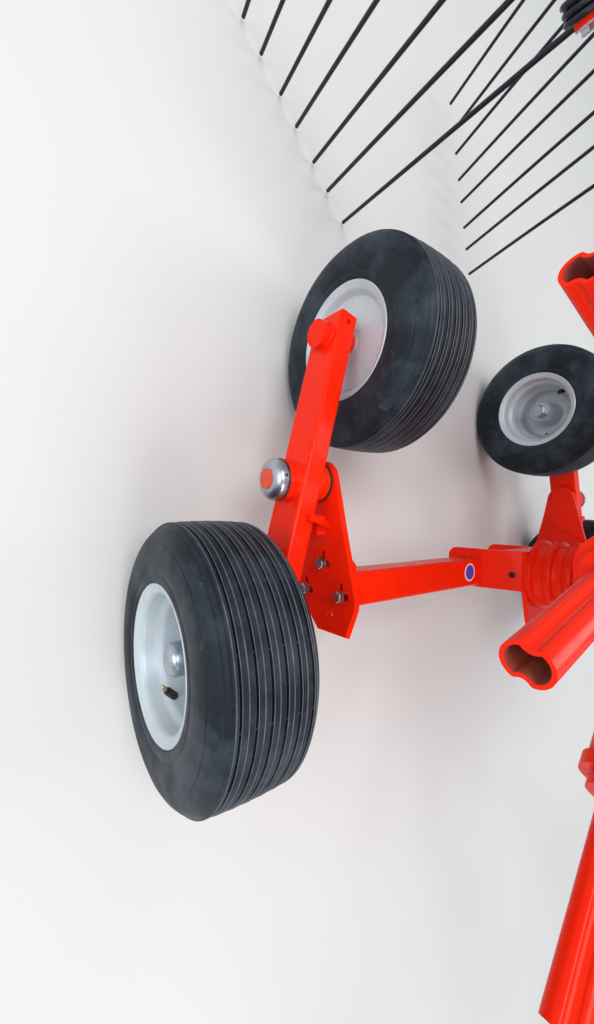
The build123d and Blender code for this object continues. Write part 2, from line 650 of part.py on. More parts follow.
for place, wheel_x, wheel_y, toward in WHEELS:
    middle = (wheel_x, wheel_y, AXLE_Z - FLANGE_TOP)
    out = Plane(origin=middle, x_dir=(0, toward, 0), z_dir=(1, 0, 0))
    axle = Axis(middle, (0, 1, 0))
    with BuildPart() as tyre:
        with BuildSketch(out):
            with BuildLine():
                Polyline(*TYRE_PROFILE, close=True)
            make_face()
        revolve(axis=axle)
    tyre.part.label = place + "_tyre"
    export_step(tyre.part, "parts/" + place + "_tyre.step")

    with BuildPart() as rim:
        with BuildSketch(out):
            with BuildLine():
                Polyline(*SEAT, *RIM_INSIDE, close=True)
            make_face()
        revolve(axis=axle)
    rim.part.label = place + "_rim"
    export_step(rim.part, "parts/" + place + "_rim.step")

    with BuildPart() as hub_cap:
        if "rear" in place:
            with BuildSketch(out):
                with BuildLine():
                    Polyline(*((HUB_OUT + a * CAP_TALL, b * CAP_R) for a, b in DOME_PROFILE), close=True)
                make_face()
            revolve(axis=axle)
        else:
            face = wheel_y + toward * HUB_OUT
            barrel(WASHER_R, wheel_x, AXLE_Z, face, face + toward * WASHER_THICK)
            with BuildSketch(across(face + toward * WASHER_THICK)):
                with Locations((wheel_x, AXLE_Z)):
                    RegularPolygon(BOLT_FLATS / 2, 6, major_radius=False)
            extrude(amount=-toward * BOLT_TALL)
    hub_cap.part.label = place + "_hub_cap"
    export_step(hub_cap.part, "parts/" + place + "_hub_cap.step")
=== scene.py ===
import json
from math import cos, hypot, pi, radians, sin
from typing import NamedTuple

import bmesh
import bpy
from bpy.props import FloatProperty, FloatVectorProperty, IntProperty, PointerProperty
from mathutils import Matrix, Vector


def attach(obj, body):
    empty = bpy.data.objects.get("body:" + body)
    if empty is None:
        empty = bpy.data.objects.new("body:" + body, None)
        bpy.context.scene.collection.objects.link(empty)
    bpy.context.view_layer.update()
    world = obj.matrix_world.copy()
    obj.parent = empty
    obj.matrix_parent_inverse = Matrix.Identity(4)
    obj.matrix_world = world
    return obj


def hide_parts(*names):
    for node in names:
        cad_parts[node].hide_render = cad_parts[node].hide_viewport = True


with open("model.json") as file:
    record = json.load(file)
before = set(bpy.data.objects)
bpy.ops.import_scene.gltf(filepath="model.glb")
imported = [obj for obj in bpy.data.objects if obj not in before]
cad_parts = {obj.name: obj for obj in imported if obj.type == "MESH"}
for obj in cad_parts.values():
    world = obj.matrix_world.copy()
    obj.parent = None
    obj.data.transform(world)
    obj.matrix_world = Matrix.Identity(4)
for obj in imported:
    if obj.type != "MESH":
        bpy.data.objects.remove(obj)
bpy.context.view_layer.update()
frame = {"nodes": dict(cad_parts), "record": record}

bl_info = {
    "name": "Rotary rake rotor unit",
    "version": (1, 0, 0),
    "blender": (4, 5, 0),
    "location": "View3D > Sidebar > Rake",
    "description": "Builds the visible pieces of a rotary rake's rotor and its tandem running gear",
    "category": "Add Mesh",
}

MM = 0.001
SIDES = (1.0, -1.0)
UP = Vector((0, 0, 1))

# Places are in metres. A name that ends in MM is in millimetres, and a height there is above the ground.

GROUND = -0.880
FRONT_WHEEL = (0.471, 0.414)
REAR_WHEEL = (-0.082, 0.768)
AXLE_HEIGHT = GROUND + 0.205
PIVOT = (0.194, GROUND + 0.208)
FOOT_HOLE_HEIGHT = GROUND + 0.341
INPUT_HEIGHT = GROUND + 0.795
FOOT_TOP_MM = 370.0
BEAM_SLOPE = 0.2636
BEAM_HALF_MM = 20.68
# the beam's middle plane: X of the front axle, and Y there
BEAM_FRONT_X_MM = 471.0
BEAM_FRONT_Y_MM = 516.0

# The rotor's arms, in metres and degrees.

ARM_HEIGHT = GROUND + 0.650
ARM_LEAN = 15.2
ARM_COUNT = 12
ARM_STEP = 30
SOCKET_REACH = 0.703
SOCKET_RUN = SOCKET_REACH * cos(radians(ARM_LEAN))
ARM_SIDE = SOCKET_REACH * sin(radians(ARM_LEAN))
DRUM_RADIUS = 0.270
# body, azimuth of the socket's mouth, how far its tines are swung back
ARMS = (
    ("front_left_arm", 28.3, 16.0),
    ("front_right_arm", -1.7, 22.1),
    ("rear_right_arm", 208.3, 65.0),
    ("rear_left_arm", 178.3, 65.0),
)
FIRST_ARM = ARMS[0][1]
# places round the drum whose sockets hold an arm, and how far the empty ones are turned
MOUNTED = (0, 5, 6, 11)
EMPTY_SWING = 17.0
# from the socket's mouth to the middle of the first double tine, and from the arm's axis to the coils'
FIRST_PAIR = 0.222
COIL_DROP = 0.052
# half the gap between the two coils of a double tine, points on one turn and on a leg, the leg's bow
COIL_GAP_HALF = 0.010
COIL_STEPS = 18
LEG_STEPS = 10
LEG_BOW = 0.004

# wheel, X and Y of its middle, way that its open side faces
WHEELS = (
    ("left_front", FRONT_WHEEL[0], FRONT_WHEEL[1], -1.0),
    ("left_rear", REAR_WHEEL[0], REAR_WHEEL[1], 1.0),
    ("right_front", FRONT_WHEEL[0], -FRONT_WHEEL[1], 1.0),
    ("right_rear", REAR_WHEEL[0], -REAR_WHEEL[1], -1.0),
)

# The sections below give the distance from the wheel's centre plane towards its open side and the
# radius, in millimetres, unless a comment says otherwise.

TREAD_RADIUS = 204.6
TREAD_HALF = 60.0
TREAD_FALL = 2.6
TYRE_SECTION = (
    (60, 101), (70, 103), (72.2, 113.5), (77, 115), (79, 119.5), (79.4, 127), (78.6, 130), (80.2, 133),
    (81, 146), (81, 158), (80.2, 166), (79, 172), (77.6, 173), (77.2, 176), (75.6, 181), (71, 188.5),
    (67.4, 192.5), (66.2, 192.6), (64.8, 195.2), (61, 198.2), (59.6, 198.2), (58.6, 200.2),
)
GROOVES = (
    # middle, half width, depth: six grooves round the tread
    (-51.0, 1.6, 6.5), (-30.6, 1.7, 7.5), (-10.2, 1.8, 8.0),
    (10.2, 1.8, 8.0), (30.6, 1.7, 7.5), (51.0, 1.6, 6.5),
)
GROOVE_LIP = 0.7
GROOVE_FLOOR_SHARE = 0.7
RIDGES = (-56.4, -40.8, -20.4, 0.0, 20.4, 40.8, 56.4)
RIDGE_RISE = 0.4
RIDGE_FOOT_HALF = 0.8
RIDGE_TOP_HALF = 0.3
# rows of wear bars round the tread, and where the first one stands in degrees
WEAR_ROWS = 15
WEAR_FIRST_ROW = 0.5
# a bar's top below the tread, its foot above the groove's floor, its width, and its length in radians
WEAR_BAR_DROP = 1.7
WEAR_BAR_FOOT = 1.5
WEAR_BAR_WIDTH_SHARE = 0.92
WEAR_BAR_HALF_ANGLE = 0.006
RIM_SECTION = (
    (-77.0, 114.0), (-72.0, 113.0), (-70.0, 103.0), (-60.0, 101.0), (60.0, 101.0), (70.0, 103.0),
    (72.0, 113.0), (77.0, 114.0), (78.2, 112.6), (77.6, 110.8), (75.0, 108.0), (73.0, 102.0), (70.0, 98.6),
    (63.0, 97.4), (50.0, 96.8), (44.0, 94.5), (40.0, 89.0), (34.0, 87.0), (8.0, 86.0), (2.0, 83.0),
    (-2.0, 78.0), (-8.0, 76.5), (-30.0, 75.5), (-38.0, 73.0), (-43.0, 66.0), (-45.0, 56.0), (-45.0, 46.0),
    (-42.0, 38.0), (-34.0, 34.0), (-12.0, 32.5), (26.0, 31.5), (30.0, 29.5), (30.0, 16.2), (-61.0, 16.2),
    (-61.0, 24.0), (-60.0, 25.0), (-60.0, 89.0), (-58.8, 90.2), (-58.8, 91.6), (-60.4, 92.8),
    (-64.0, 95.6), (-70.0, 98.6), (-73.0, 102.0), (-75.0, 108.0), (-77.6, 110.8), (-78.2, 112.6),
)
DISC_HOLE = (-44, 62)
HUB_FACE = 30
DOME_CAP_SECTION = (
    (30, 0), (30, 27.4), (31, 28.0), (35, 28.0), (36.2, 26.2), (37, 25.6), (53, 25.2), (58, 22.8),
    (61.8, 18.2), (64.4, 11.6), (65.7, 5), (66.0, 0),
)
# where the valve stands round its wheel in degrees, its root, and a point that it leans towards
VALVES = {"front": (42.0, (2, 82), (44, 66)), "rear": (210.0, (33, 87), (62, 53))}

COLUMN_SECTION = (
    # radius, height above the foot
    (0.0, 0.0), (76.5, 0.0), (79.0, 2.0), (79.5, 5.0), (78.5, 8.0), (75.5, 10.0), (72.0, 13.0),
    (71.0, 20.0), (72.0, 29.0), (76.0, 33.0), (77.5, 36.0), (78.0, 44.0), (76.5, 47.0), (71.0, 50.0),
    (69.5, 54.0), (69.0, 66.0), (71.5, 70.0), (75.5, 73.0), (76.5, 76.0), (76.5, 83.0), (75.0, 86.0),
    (67.5, 89.0), (66.0, 93.0), (66.0, 101.0), (68.0, 105.0), (74.0, 109.0), (74.0, 186.0),
    (72.0, 190.0), (0.0, 190.0),
)

# The next ones give the distance from the middle plane of the machine and the radius.

CAP_RING_SECTION = (
    (641, 17.7), (641, 35.2), (642.4, 36.5), (650.5, 36.5), (654.5, 35.0), (658.5, 31.0),
    (661.5, 25.2), (663, 20.5), (663, 17.7),
)
SEAL_SECTIONS = (
    ((545.1, 28.1), (545.1, 35.0), (546.2, 36.6), (549.8, 36.6), (550.9, 35.0), (550.9, 28.1)),
    ((637.5, 35.6), (637.9, 36.9), (639.5, 37.2), (640.9, 36.6), (640.9, 20.4), (640.2, 20.4), (640.2, 35.6)),
)
CAP_PLUG_SECTION = ((660, 0), (660, 17.62), (664.4, 17.62), (665.2, 16.8), (665.2, 0))
# a dark cup of painted shade in each of the foot's holes
FOOT_HOLE_SHADE_SECTION = ((74.4, 0), (74.4, 7.15), (79.0, 7.15), (79.0, 5.8), (75.6, 5.2), (75.6, 0))
SET_SCREW = (647, 36.3)
SET_SCREW_TURN = 82
# from the wheel's centre plane to the face of its disc, and the collar's bore, edge and outer radius
DISC_FACE_MM = 61.5
COLLAR_RADII = (16.3, 19.8, 20.4)
COLLAR_CHAMFER = 0.6

# The arm tube's section in millimetres: two round ends with a flat between and a groove on each side.

LOBE_RADIUS = 18.0
LOBE_RISE = 4.0
GROOVE_MIDDLE = 22.2
GROOVE_RADIUS = 8.0
# how far inside the tube's outside the two faces of the lining of painted shade lie, and where it starts and
# ends in metres
LINING_DEPTHS = (3.5, 4.2)
LINING_ENDS = (0.0006, 0.200)

# Welds in millimetres: the beads' radii, a tube's ends and middle, its loop's width, height and corner,
# and the same for the stop.

COLUMN_BEAD = 2.6
TUBE_BEAD = 2.4
STOP_BEAD = 2.0
BOSS_BEAD = 2.2
HOUSING_BEAD = 2.6
TUBE_WELD_ENDS = (98.6, 522.4)
TUBE_WELD_MIDDLE = (2, 250)
TUBE_WELD = (62.6, 60.6, 6.0)
STOP_WELD_MIDDLE = (114, 545.4, 208.5)
STOP_WELD = (35.6, 25.6, 1.0)
COLUMN_WELD_RADIUS = 77.0
HOUSING_WELD_RADIUS = 42.2
# x, height, radius and which face of the beam
BEAM_WELDS = (
    (PIVOT[0] / MM, 208, 35.6, 1), (PIVOT[0] / MM, 208, 35.6, -1), (471, 205, 26.1, 1),
    (471, 205, 20.1, -1), (-82, 205, 26.1, -1), (-82, 205, 20.1, 1),
)

# Small fittings: what point() or a lathe takes is in millimetres, the rest in metres and degrees.

BRACKET_BOLTS = ((-10, 267), (-10, 170), (44, 218.5))
BRACKET_FACE_MM = 545
CASE_BOLTS_MM = (107, 82, 860)
COVER_BOLTS_X = 0.160
COVER_BOLTS_RADIUS = 0.034
# x, side, height
OIL_PLUGS = ((-70, 1, 825), (-70, 1, 752), (60, -1, 752))
OIL_PLUG_FACE_MM = 100
DRUM_BOLT_CIRCLE = 0.228
DRUM_HALF = 0.058
DRUM_BOLT_TURN = 3
CLAMP_REACH = 0.046
NIPPLE_FOOT = (0.441, 0, 0.0465)
# middle in millimetres, and where its white rim starts and is full, in metres from the middle
LABEL_MIDDLE = (4, 153, 280)
LABEL_RIM = (0.0168, 0.0173)
LABEL_EDGE = 0.0004
LABEL_CROWN = 0.0005

# place, what it shines at, width and power
LIGHTS = {
    "key_light": ((1.2, 1.8, 3.2), (0.0, 0.3, -0.5), 2.2, 100.0),
    "fill_light": ((-2.6, 0.8, 2.2), (0.0, 0.2, -0.5), 2.5, 60.0),
    "side_light": ((0.4, 3.4, 0.6), (0.0, 0.2, -0.6), 2.4, 36.0),
    "back_light": ((0.6, -3.8, 3.4), (0.0, 0.0, -0.4), 3.0, 85.0),
}
FLOOR_HALF = 30
CAMERA_PLACE = (0.138, 1.040, GROUND + 0.799)
CAMERA_PITCH = 53.2
CAMERA_ROLL = 0.7
CAMERA_LENS = 14.456


class BoltSize(NamedTuple):
    """Across the flats, height of the head, radius and thickness of the washer."""
    across: float
    head: float
    washer: float
    thick: float


HUB_BOLT = BoltSize(0.036, 0.018, 0.029, 0.006)
BRACKET_BOLT = BoltSize(0.019, 0.008, 0.011, 0.0022)
CASE_BOLT = BoltSize(0.013, 0.007, 0.0095, 0.0016)
COVER_BOLT = BoltSize(0.010, 0.005, 0.0066, 0.001)
OIL_PLUG = BoltSize(0.022, 0.008, 0.0145, 0.002)
DRUM_BOLT = BoltSize(0.017, 0.008, 0.012, 0.0018)
CLAMP_BOLT = BoltSize(0.017, 0.008, 0.0135, 0.002)


class Pin(NamedTuple):
    """A short round bar: where it starts and ends along its axis, its radius, steps and chamfer."""
    start: float
    stop: float
    radius: float
    steps: int
    chamfer: float = 0.0008


VALVE_STEM = Pin(0.0, 0.024, 0.0062, 18)
VALVE_NECK = Pin(0.024, 0.030, 0.0045, 18)
VALVE_TIP = Pin(0.030, 0.042, 0.0034, 14)
# a dark disc of painted shade in each small hole of a wheel's disc
DISC_HOLE_SHADE = Pin(-0.001, 0.0006, 0.0038, 20, 0.0001)
SCREW_COLLAR = Pin(-0.002, 0.0007, 0.0054, 24, 0.0004)
# the set screw's hex socket, drawn as a dark hexagon of painted shade
SCREW_SOCKET_SHADE = Pin(0.0, 0.0009, 0.0032, 6, 0.0001)
NIPPLE_PARTS = (
    Pin(0.0, 0.0035, 0.0045, 6, 0.0004), Pin(0.003, 0.008, 0.0022, 12, 0.0004),
    Pin(0.0075, 0.0125, 0.0033, 14, 0.0014),
)


def point(x, y, height):
    """A point given in millimetres, with its height above the ground."""
    return Vector((x * MM, y * MM, GROUND + height * MM))


def beam_middle(x):
    """Y of the beam's middle plane at x, both in millimetres."""
    return BEAM_FRONT_Y_MM + (BEAM_FRONT_X_MM - x) * BEAM_SLOPE


def tread_crown(middle):
    """Radius of the tread at a distance from the wheel's centre plane, both in millimetres."""
    return TREAD_RADIUS - TREAD_FALL * (middle / TREAD_HALF) ** 2


# Mesh helpers


def placed(name, data):
    """The mesh or curve as an object of the scene."""
    piece = bpy.data.objects.new(name, data)
    bpy.context.scene.collection.objects.link(piece)
    return piece


def smooth(piece, crease):
    """Smooth shading, with edges sharper than the crease's degrees kept sharp."""
    piece.data.shade_smooth()
    piece.data.set_sharp_from_angle(angle=radians(crease))
    return piece


def new_piece(name, corners, faces, crease=32.0):
    """A mesh with its doubles merged and its faces pointing outwards."""
    data = bpy.data.meshes.new(name)
    data.from_pydata([tuple(c) for c in corners], [], faces)
    form = bmesh.new()
    form.from_mesh(data)
    bmesh.ops.remove_doubles(form, verts=form.verts, dist=1e-7)
    bmesh.ops.recalc_face_normals(form, faces=form.faces)
    form.to_mesh(data)
    form.free()
    return smooth(placed(name, data), crease)


def coloured(piece, *materials):
    for material in materials:
        piece.data.materials.append(material)
    return piece


def settle(piece, body, material=None, replaced=()):
    """Puts a finished piece on its body."""
    if material is not None:
        piece.data.materials.clear()
        piece.data.materials.append(material)
    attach(piece, body)
    if replaced:
        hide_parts(*replaced)
    return piece


def frozen(piece, name):
    """The plain mesh that the piece's modifiers give, as a new object; the old one is removed."""
    graph = bpy.context.evaluated_depsgraph_get()
    graph.update()
    data = bpy.data.meshes.new_from_object(piece.evaluated_get(graph))
    bpy.data.objects.remove(piece)
    data.name = name
    return placed(name, data)


def joined(name, pieces):
    """Several finished pieces as one mesh, each keeping its material."""
    form = bmesh.new()
    data = bpy.data.meshes.new(name)
    slots = []
    for piece in pieces:
        first = len(form.faces)
        form.from_mesh(piece.data)
        form.faces.ensure_lookup_table()
        own = list(piece.data.materials)
        slots += [material for material in own if material not in slots]
        for face in form.faces[first:]:
            if own:
                face.material_index = slots.index(own[face.material_index])
    form.to_mesh(data)
    form.free()
    for piece in pieces:
        bpy.data.objects.remove(piece)
    return coloured(placed(name, data), *slots)


def band(a, b, count):
    """Faces between two rings of corners, whose first corners are a and b."""
    return [(a + n, a + (n + 1) % count, b + (n + 1) % count, b + n) for n in range(count)]


def lathe(name, section, steps, place, crease=32.0):
    """Turns a closed section (along, radius) about an axis; place maps (along, radius, angle) to a point."""
    corners, faces, rings = [], [], []
    for along, radius in section:
        if radius < 1e-9:
            rings.append([len(corners)] * steps)
            corners.append(place(along, 0.0, 0.0))
        else:
            rings.append(list(range(len(corners), len(corners) + steps)))
            corners += [place(along, radius, 2 * pi * k / steps) for k in range(steps)]
    for a, b in zip(rings, rings[1:] + rings[:1]):
        for k in range(steps):
            n = (k + 1) % steps
            loop = []
            for corner in (a[k], a[n], b[n], b[k]):
                if corner not in loop:
                    loop.append(corner)
            if len(loop) > 2:
                faces.append(loop)
    return new_piece(name, corners, faces, crease)


def about_y(x, y, height, toward=1.0):
    """Lathe placing of a section in millimetres about a level axis along Y through a point in metres."""
    def place(along, radius, angle):
        reach = radius * MM
        return Vector((x + reach * cos(angle), y + toward * along * MM, height + reach * sin(angle)))
    return place


def about_z(height, radius, angle):
    """Lathe placing of a section in millimetres above the ground about the rotor's axis."""
    return Vector((radius * MM * cos(angle), radius * MM * sin(angle), GROUND + height * MM))


def pin(shape, foot, way, *materials):
    """A short round bar with small chamfers on the axis through foot."""
    a, b = foot + way * shape.start, foot + way * shape.stop
    out = (b - a).normalized()
    side = out.orthogonal().normalized()
    over = out.cross(side)
    length = (b - a).length
    edge = shape.radius - shape.chamfer

    def place(along, radius, angle):
        return a + out * along + (side * cos(angle) + over * sin(angle)) * radius
    section = (
        (0, 0), (0, edge), (shape.chamfer, shape.radius),
        (length - shape.chamfer, shape.radius), (length, edge), (length, 0))
    return coloured(lathe("pin", section, shape.steps, place), *materials)


def bead(path, radius):
    """A weld bead: a rippled cord round the closed path, given as points a millimetre or two apart."""
    corners, faces = [], []
    sides = 8
    count = len(path)
    oblique = Vector((0.31, 0.53, 0.79))
    for k, spot in enumerate(path):
        way = (path[(k + 1) % count] - path[k - 1]).normalized()
        side = way.cross(oblique).normalized()
        over = way.cross(side)
        # a ripple every third point and a slow swell
        size = radius * MM * (1.0 + 0.1 * sin(k * 2.1) + 0.05 * sin(k * 0.37))
        for n in range(sides):
            angle = 2 * pi * n / sides
            corners.append(spot + (side * cos(angle) + over * sin(angle)) * size)
    for k in range(count):
        faces += band(k * sides, ((k + 1) % count) * sides, sides)
    return new_piece("bead", corners, faces, 70.0)


def rounded_loop(wide, tall, corner, step=2.0):
    """Points (a, b) round a rectangle with round corners."""
    spots = []
    for sign_a, sign_b, first in ((1, 1, 0), (-1, 1, 90), (-1, -1, 180), (1, -1, 270)):
        middle = (sign_a * (wide / 2 - corner), sign_b * (tall / 2 - corner))
        for n in range(5):
            angle = radians(first + n * 22.5)
            spots.append((middle[0] + corner * cos(angle), middle[1] + corner * sin(angle)))
    loop = []
    for (a, b), (c, d) in zip(spots, spots[1:] + spots[:1]):
        parts = max(1, round(hypot(c - a, d - b) / step))
        loop += [(a + (c - a) * n / parts, b + (d - b) * n / parts) for n in range(parts)]
    return loop


def ring_loop(radius, step=2.0):
    """Points (a, b) round a circle."""
    parts = round(2 * pi * radius / step)
    return [(radius * cos(2 * pi * n / parts), radius * sin(2 * pi * n / parts)) for n in range(parts)]


def lobed_loop(shrink, steps=96):
    """Points (across, up) round the arm tube's grooved section, drawn in by shrink."""
    round_r, groove_r = LOBE_RADIUS - shrink, GROOVE_RADIUS + shrink
    loop = []
    for k in range(steps):
        a, b = cos(2 * pi * k / steps), abs(sin(2 * pi * k / steps))
        # out to the flat side, or past its end to the round end
        reach = round_r / max(abs(a), 1e-9)
        if reach * b > LOBE_RISE:
            reach = b * LOBE_RISE + (round_r ** 2 - (a * LOBE_RISE) ** 2) ** 0.5
        root = (abs(a) * GROOVE_MIDDLE) ** 2 - GROOVE_MIDDLE ** 2 + groove_r ** 2
        if root > 0:
            reach = min(reach, abs(a) * GROOVE_MIDDLE - root ** 0.5)
        loop.append((reach * a, reach * sin(2 * pi * k / steps)))
    return loop


def arm_frame(azimuth, swing):
    """Local X runs out along the arm from abreast of the column, local Z away from the tines."""
    turn = radians(azimuth + ARM_LEAN)
    out = Vector((cos(turn), sin(turn), 0))
    side = Vector((-sin(turn), cos(turn), 0))
    up = UP * cos(radians(swing)) + side * sin(radians(swing))
    foot = side * -ARM_SIDE + Vector((0, 0, ARM_HEIGHT))
    return Matrix.Translation(foot) @ Matrix((out, up.cross(out), up)).transposed().to_4x4()


# Materials


class Patch(NamedTuple):
    """A colour laid over the base where noise rises from low to high."""
    scale: float
    low: float
    high: float
    colour: tuple
    share: float = 1.0
    detail: float = 3.0
    rough: float = 0.55
    on_top: float = 0.0


class Sheen(NamedTuple):
    """Roughness that goes from smooth to dull as noise rises from 0.3 to high."""
    scale: float
    smooth: float
    dull: float
    detail: float = 3.0
    high: float = 0.75


class Grain(NamedTuple):
    """Fine relief from noise."""
    scale: float
    strength: float
    distance: float
    detail: float = 2.0


def add(tree, kind, **settings):
    """A new node; a setting that starts with in_ is the value of the input with the rest of its name."""
    node = tree.nodes.new(kind)
    for key, value in settings.items():
        if key.startswith("in_"):
            node.inputs[key[3:].replace("_", " ")].default_value = value
        else:
            setattr(node, key, value)
    return node


def noise(tree, coords, scale, detail=3.0, rough=0.55):
    node = add(tree, "ShaderNodeTexNoise", in_Scale=scale, in_Detail=detail, in_Roughness=rough)
    tree.links.new(coords, node.inputs["Vector"])
    return node.outputs["Fac"]


def remap(tree, value, low, high, to_low=0.0, to_high=1.0):
    node = add(
        tree, "ShaderNodeMapRange", in_From_Min=low, in_From_Max=high, in_To_Min=to_low, in_To_Max=to_high)
    tree.links.new(value, node.inputs["Value"])
    return node.outputs["Result"]


def computed(tree, operation, a, b):
    """The sum, product or the like of two numbers, each given as a number or as an output."""
    node = add(tree, "ShaderNodeMath", operation=operation)
    for socket, value in zip(node.inputs, (a, b)):
        if isinstance(value, (int, float)):
            socket.default_value = value
        else:
            tree.links.new(value, socket)
    return node.outputs[0]


def mixed(tree, factor, a, b):
    node = add(tree, "ShaderNodeMix", data_type="RGBA")
    tree.links.new(factor, node.inputs["Factor"])
    for socket, value in ((node.inputs[6], a), (node.inputs[7], b)):
        if hasattr(value, "is_output"):
            tree.links.new(value, socket)
        else:
            socket.default_value = (*value[:3], 1.0)
    return node.outputs[2]


def shade(colour, share):
    return tuple(c * share for c in colour)


def facing_up(tree):
    split = add(tree, "ShaderNodeSeparateXYZ")
    tree.links.new(add(tree, "ShaderNodeNewGeometry").outputs["Normal"], split.inputs[0])
    return split.outputs["Z"]


def surface(name, base, patches, sheen, grain=None, inputs=None):
    """A material made once: patches over a base colour or over what a function of its tree gives."""
    material = bpy.data.materials.get(name)
    if material is not None:
        return material
    material = bpy.data.materials.new(name)
    material.use_nodes = True
    tree = material.node_tree
    shader = tree.nodes["Principled BSDF"]
    coords = tree.nodes.new("ShaderNodeTexCoord").outputs["Object"]
    tone = base(tree, coords) if callable(base) else base
    for patch in patches:
        cover = noise(tree, coords, patch.scale, patch.detail, patch.rough)
        cover = remap(tree, cover, patch.low, patch.high, 0.0, patch.share)
        if patch.on_top:
            upward = remap(tree, facing_up(tree), 0.3, 1.0, 0.0, patch.on_top)
            cover = computed(tree, "MULTIPLY", cover, upward)
        tone = mixed(tree, cover, tone, patch.colour)
    tree.links.new(tone, shader.inputs["Base Color"])
    dullness = noise(tree, coords, sheen.scale, sheen.detail)
    dullness = remap(tree, dullness, 0.3, sheen.high, sheen.smooth, sheen.dull)
    tree.links.new(dullness, shader.inputs["Roughness"])
    for key, value in (inputs or {}).items():
        shader.inputs[key].default_value = value
    if grain:
        bump = add(tree, "ShaderNodeBump", in_Strength=grain.strength, in_Distance=grain.distance)
        tree.links.new(noise(tree, coords, grain.scale, grain.detail), bump.inputs["Height"])
        tree.links.new(bump.outputs["Normal"], shader.inputs["Normal"])
    return material


def enamel(colour):
    """Gloss orange-red machine enamel with a little orange peel and a trace of dust on what faces up."""
    return surface(
        "frame_enamel", colour,
        (Patch(5.0, 0.35, 0.7, shade(colour, 0.9)),
         Patch(46.0, 0.56, 0.8, (0.5, 0.3, 0.2), detail=6.0, rough=0.7, on_top=0.03)),
        Sheen(21.0, 0.22, 0.36, detail=4.0), Grain(420.0, 0.04, 0.0004),
        {"Specular IOR Level": 0.09, "Coat Weight": 0.06, "Coat Roughness": 0.05})


def weld_enamel(colour):
    """The same enamel over the fine ripple of a weld."""
    return surface(
        "weld_enamel", colour, (Patch(160.0, 0.4, 0.7, shade(colour, 0.72)),),
        Sheen(60.0, 0.3, 0.45), Grain(520.0, 0.2, 0.0008), {"Specular IOR Level": 0.2})


def inside_paint():
    """Painted shade inside the open sockets: a dark red, with dusty patches."""
    return surface(
        "inside_paint", (0.35, 0.055, 0.035),
        (Patch(34.0, 0.38, 0.68, (0.24, 0.07, 0.05), detail=5.0, rough=0.65),),
        Sheen(70.0, 0.5, 0.75), None, {"Specular IOR Level": 0.2})


def plug_enamel():
    """Duller orange of the plugs in the pivot caps."""
    return surface(
        "plug_enamel", (0.72, 0.075, 0.02), (Patch(130.0, 0.35, 0.7, (0.6, 0.055, 0.015), detail=4.0),),
        Sheen(80.0, 0.38, 0.55))


def rim_enamel(colour):
    """Silver-grey wheel enamel, slightly metallic, with a film of dust."""
    return surface(
        "rim_enamel", colour,
        (Patch(900.0, 0.4, 0.6, shade(colour, 0.88), detail=2.0),
         Patch(26.0, 0.52, 0.8, (0.36, 0.35, 0.33), 0.35, detail=6.0, rough=0.65)),
        Sheen(34.0, 0.32, 0.5, detail=4.0), Grain(300.0, 0.05, 0.0005), {"Metallic": 0.15})


def tyre_rubber(colour):
    """Bluish-black rubber with fine grain, bluish patches that are partly dust and partly a painted sheen of
    the sky, and pale dust in patches.
    """
    return surface(
        "tyre_rubber", colour,
        # bluish patches: partly dust, partly a painted sheen of the sky
        (Patch(8.0, 0.44, 0.68, (0.05, 0.064, 0.084), 0.8, detail=6.0, rough=0.65),
         Patch(38.0, 0.6, 0.76, (0.12, 0.138, 0.155), 0.5, detail=8.0, rough=0.78)),
        Sheen(17.0, 0.4, 0.62, detail=4.0), Grain(650.0, 0.18, 0.0008, detail=3.0),
        {"Specular IOR Level": 0.22, "Specular Tint": (0.72, 0.88, 1.0, 1.0)})


def worn_rubber():
    """Paler rubber on the groove lips and the fine moulded lines: partly wear, partly a painted highlight
    where these edges catch the light.
    """
    return surface(
        "worn_rubber", (0.045, 0.054, 0.068), (Patch(60.0, 0.35, 0.7, (0.105, 0.12, 0.142), detail=5.0),),
        Sheen(30.0, 0.45, 0.65))


def zinc_plate(colour):
    """Bright zinc plate with faint cloudy passivation."""
    cloud = tuple(c * share for c, share in zip(colour, (0.84, 0.85, 0.92)))
    return surface(
        "zinc_plate", colour, (Patch(70.0, 0.4, 0.7, cloud, detail=4.0),),
        Sheen(160.0, 0.24, 0.42, detail=5.0, high=0.7), Grain(500.0, 0.05, 0.0004), {"Metallic": 1.0})


def turned_steel(colour):
    """Plain turned steel under a film of oil."""
    return surface(
        "turned_steel", colour, (Patch(40.0, 0.45, 0.75, shade(colour, 0.6), detail=5.0),),
        Sheen(90.0, 0.22, 0.45, detail=4.0, high=0.7), Grain(800.0, 0.06, 0.0004), {"Metallic": 1.0})


def spring_steel(colour):
    """Black spring steel, rubbed bright in patches."""
    return surface(
        "spring_steel", colour, (Patch(60.0, 0.62, 0.8, (0.16, 0.16, 0.17), 0.6, detail=6.0, rough=0.7),),
        Sheen(45.0, 0.28, 0.5, detail=4.0), Grain(700.0, 0.08, 0.0004), {"Metallic": 0.4})


def seal_rubber():
    """Black rubber of the seal rings and the valve stems, also the black of the painted shade in the disc
    holes, the set screws' sockets and the foot's holes.
    """
    return surface(
        "seal_rubber", (0.012, 0.011, 0.011), (Patch(90.0, 0.5, 0.75, (0.05, 0.035, 0.03), 0.6, detail=5.0),),
        Sheen(60.0, 0.45, 0.65, high=0.7))


def brass():
    """Dull brass of the valve tips."""
    return surface(
        "valve_brass", (0.76, 0.64, 0.46), (Patch(200.0, 0.4, 0.7, (0.5, 0.42, 0.3)),),
        Sheen(120.0, 0.3, 0.5, high=0.7), None, {"Metallic": 1.0})


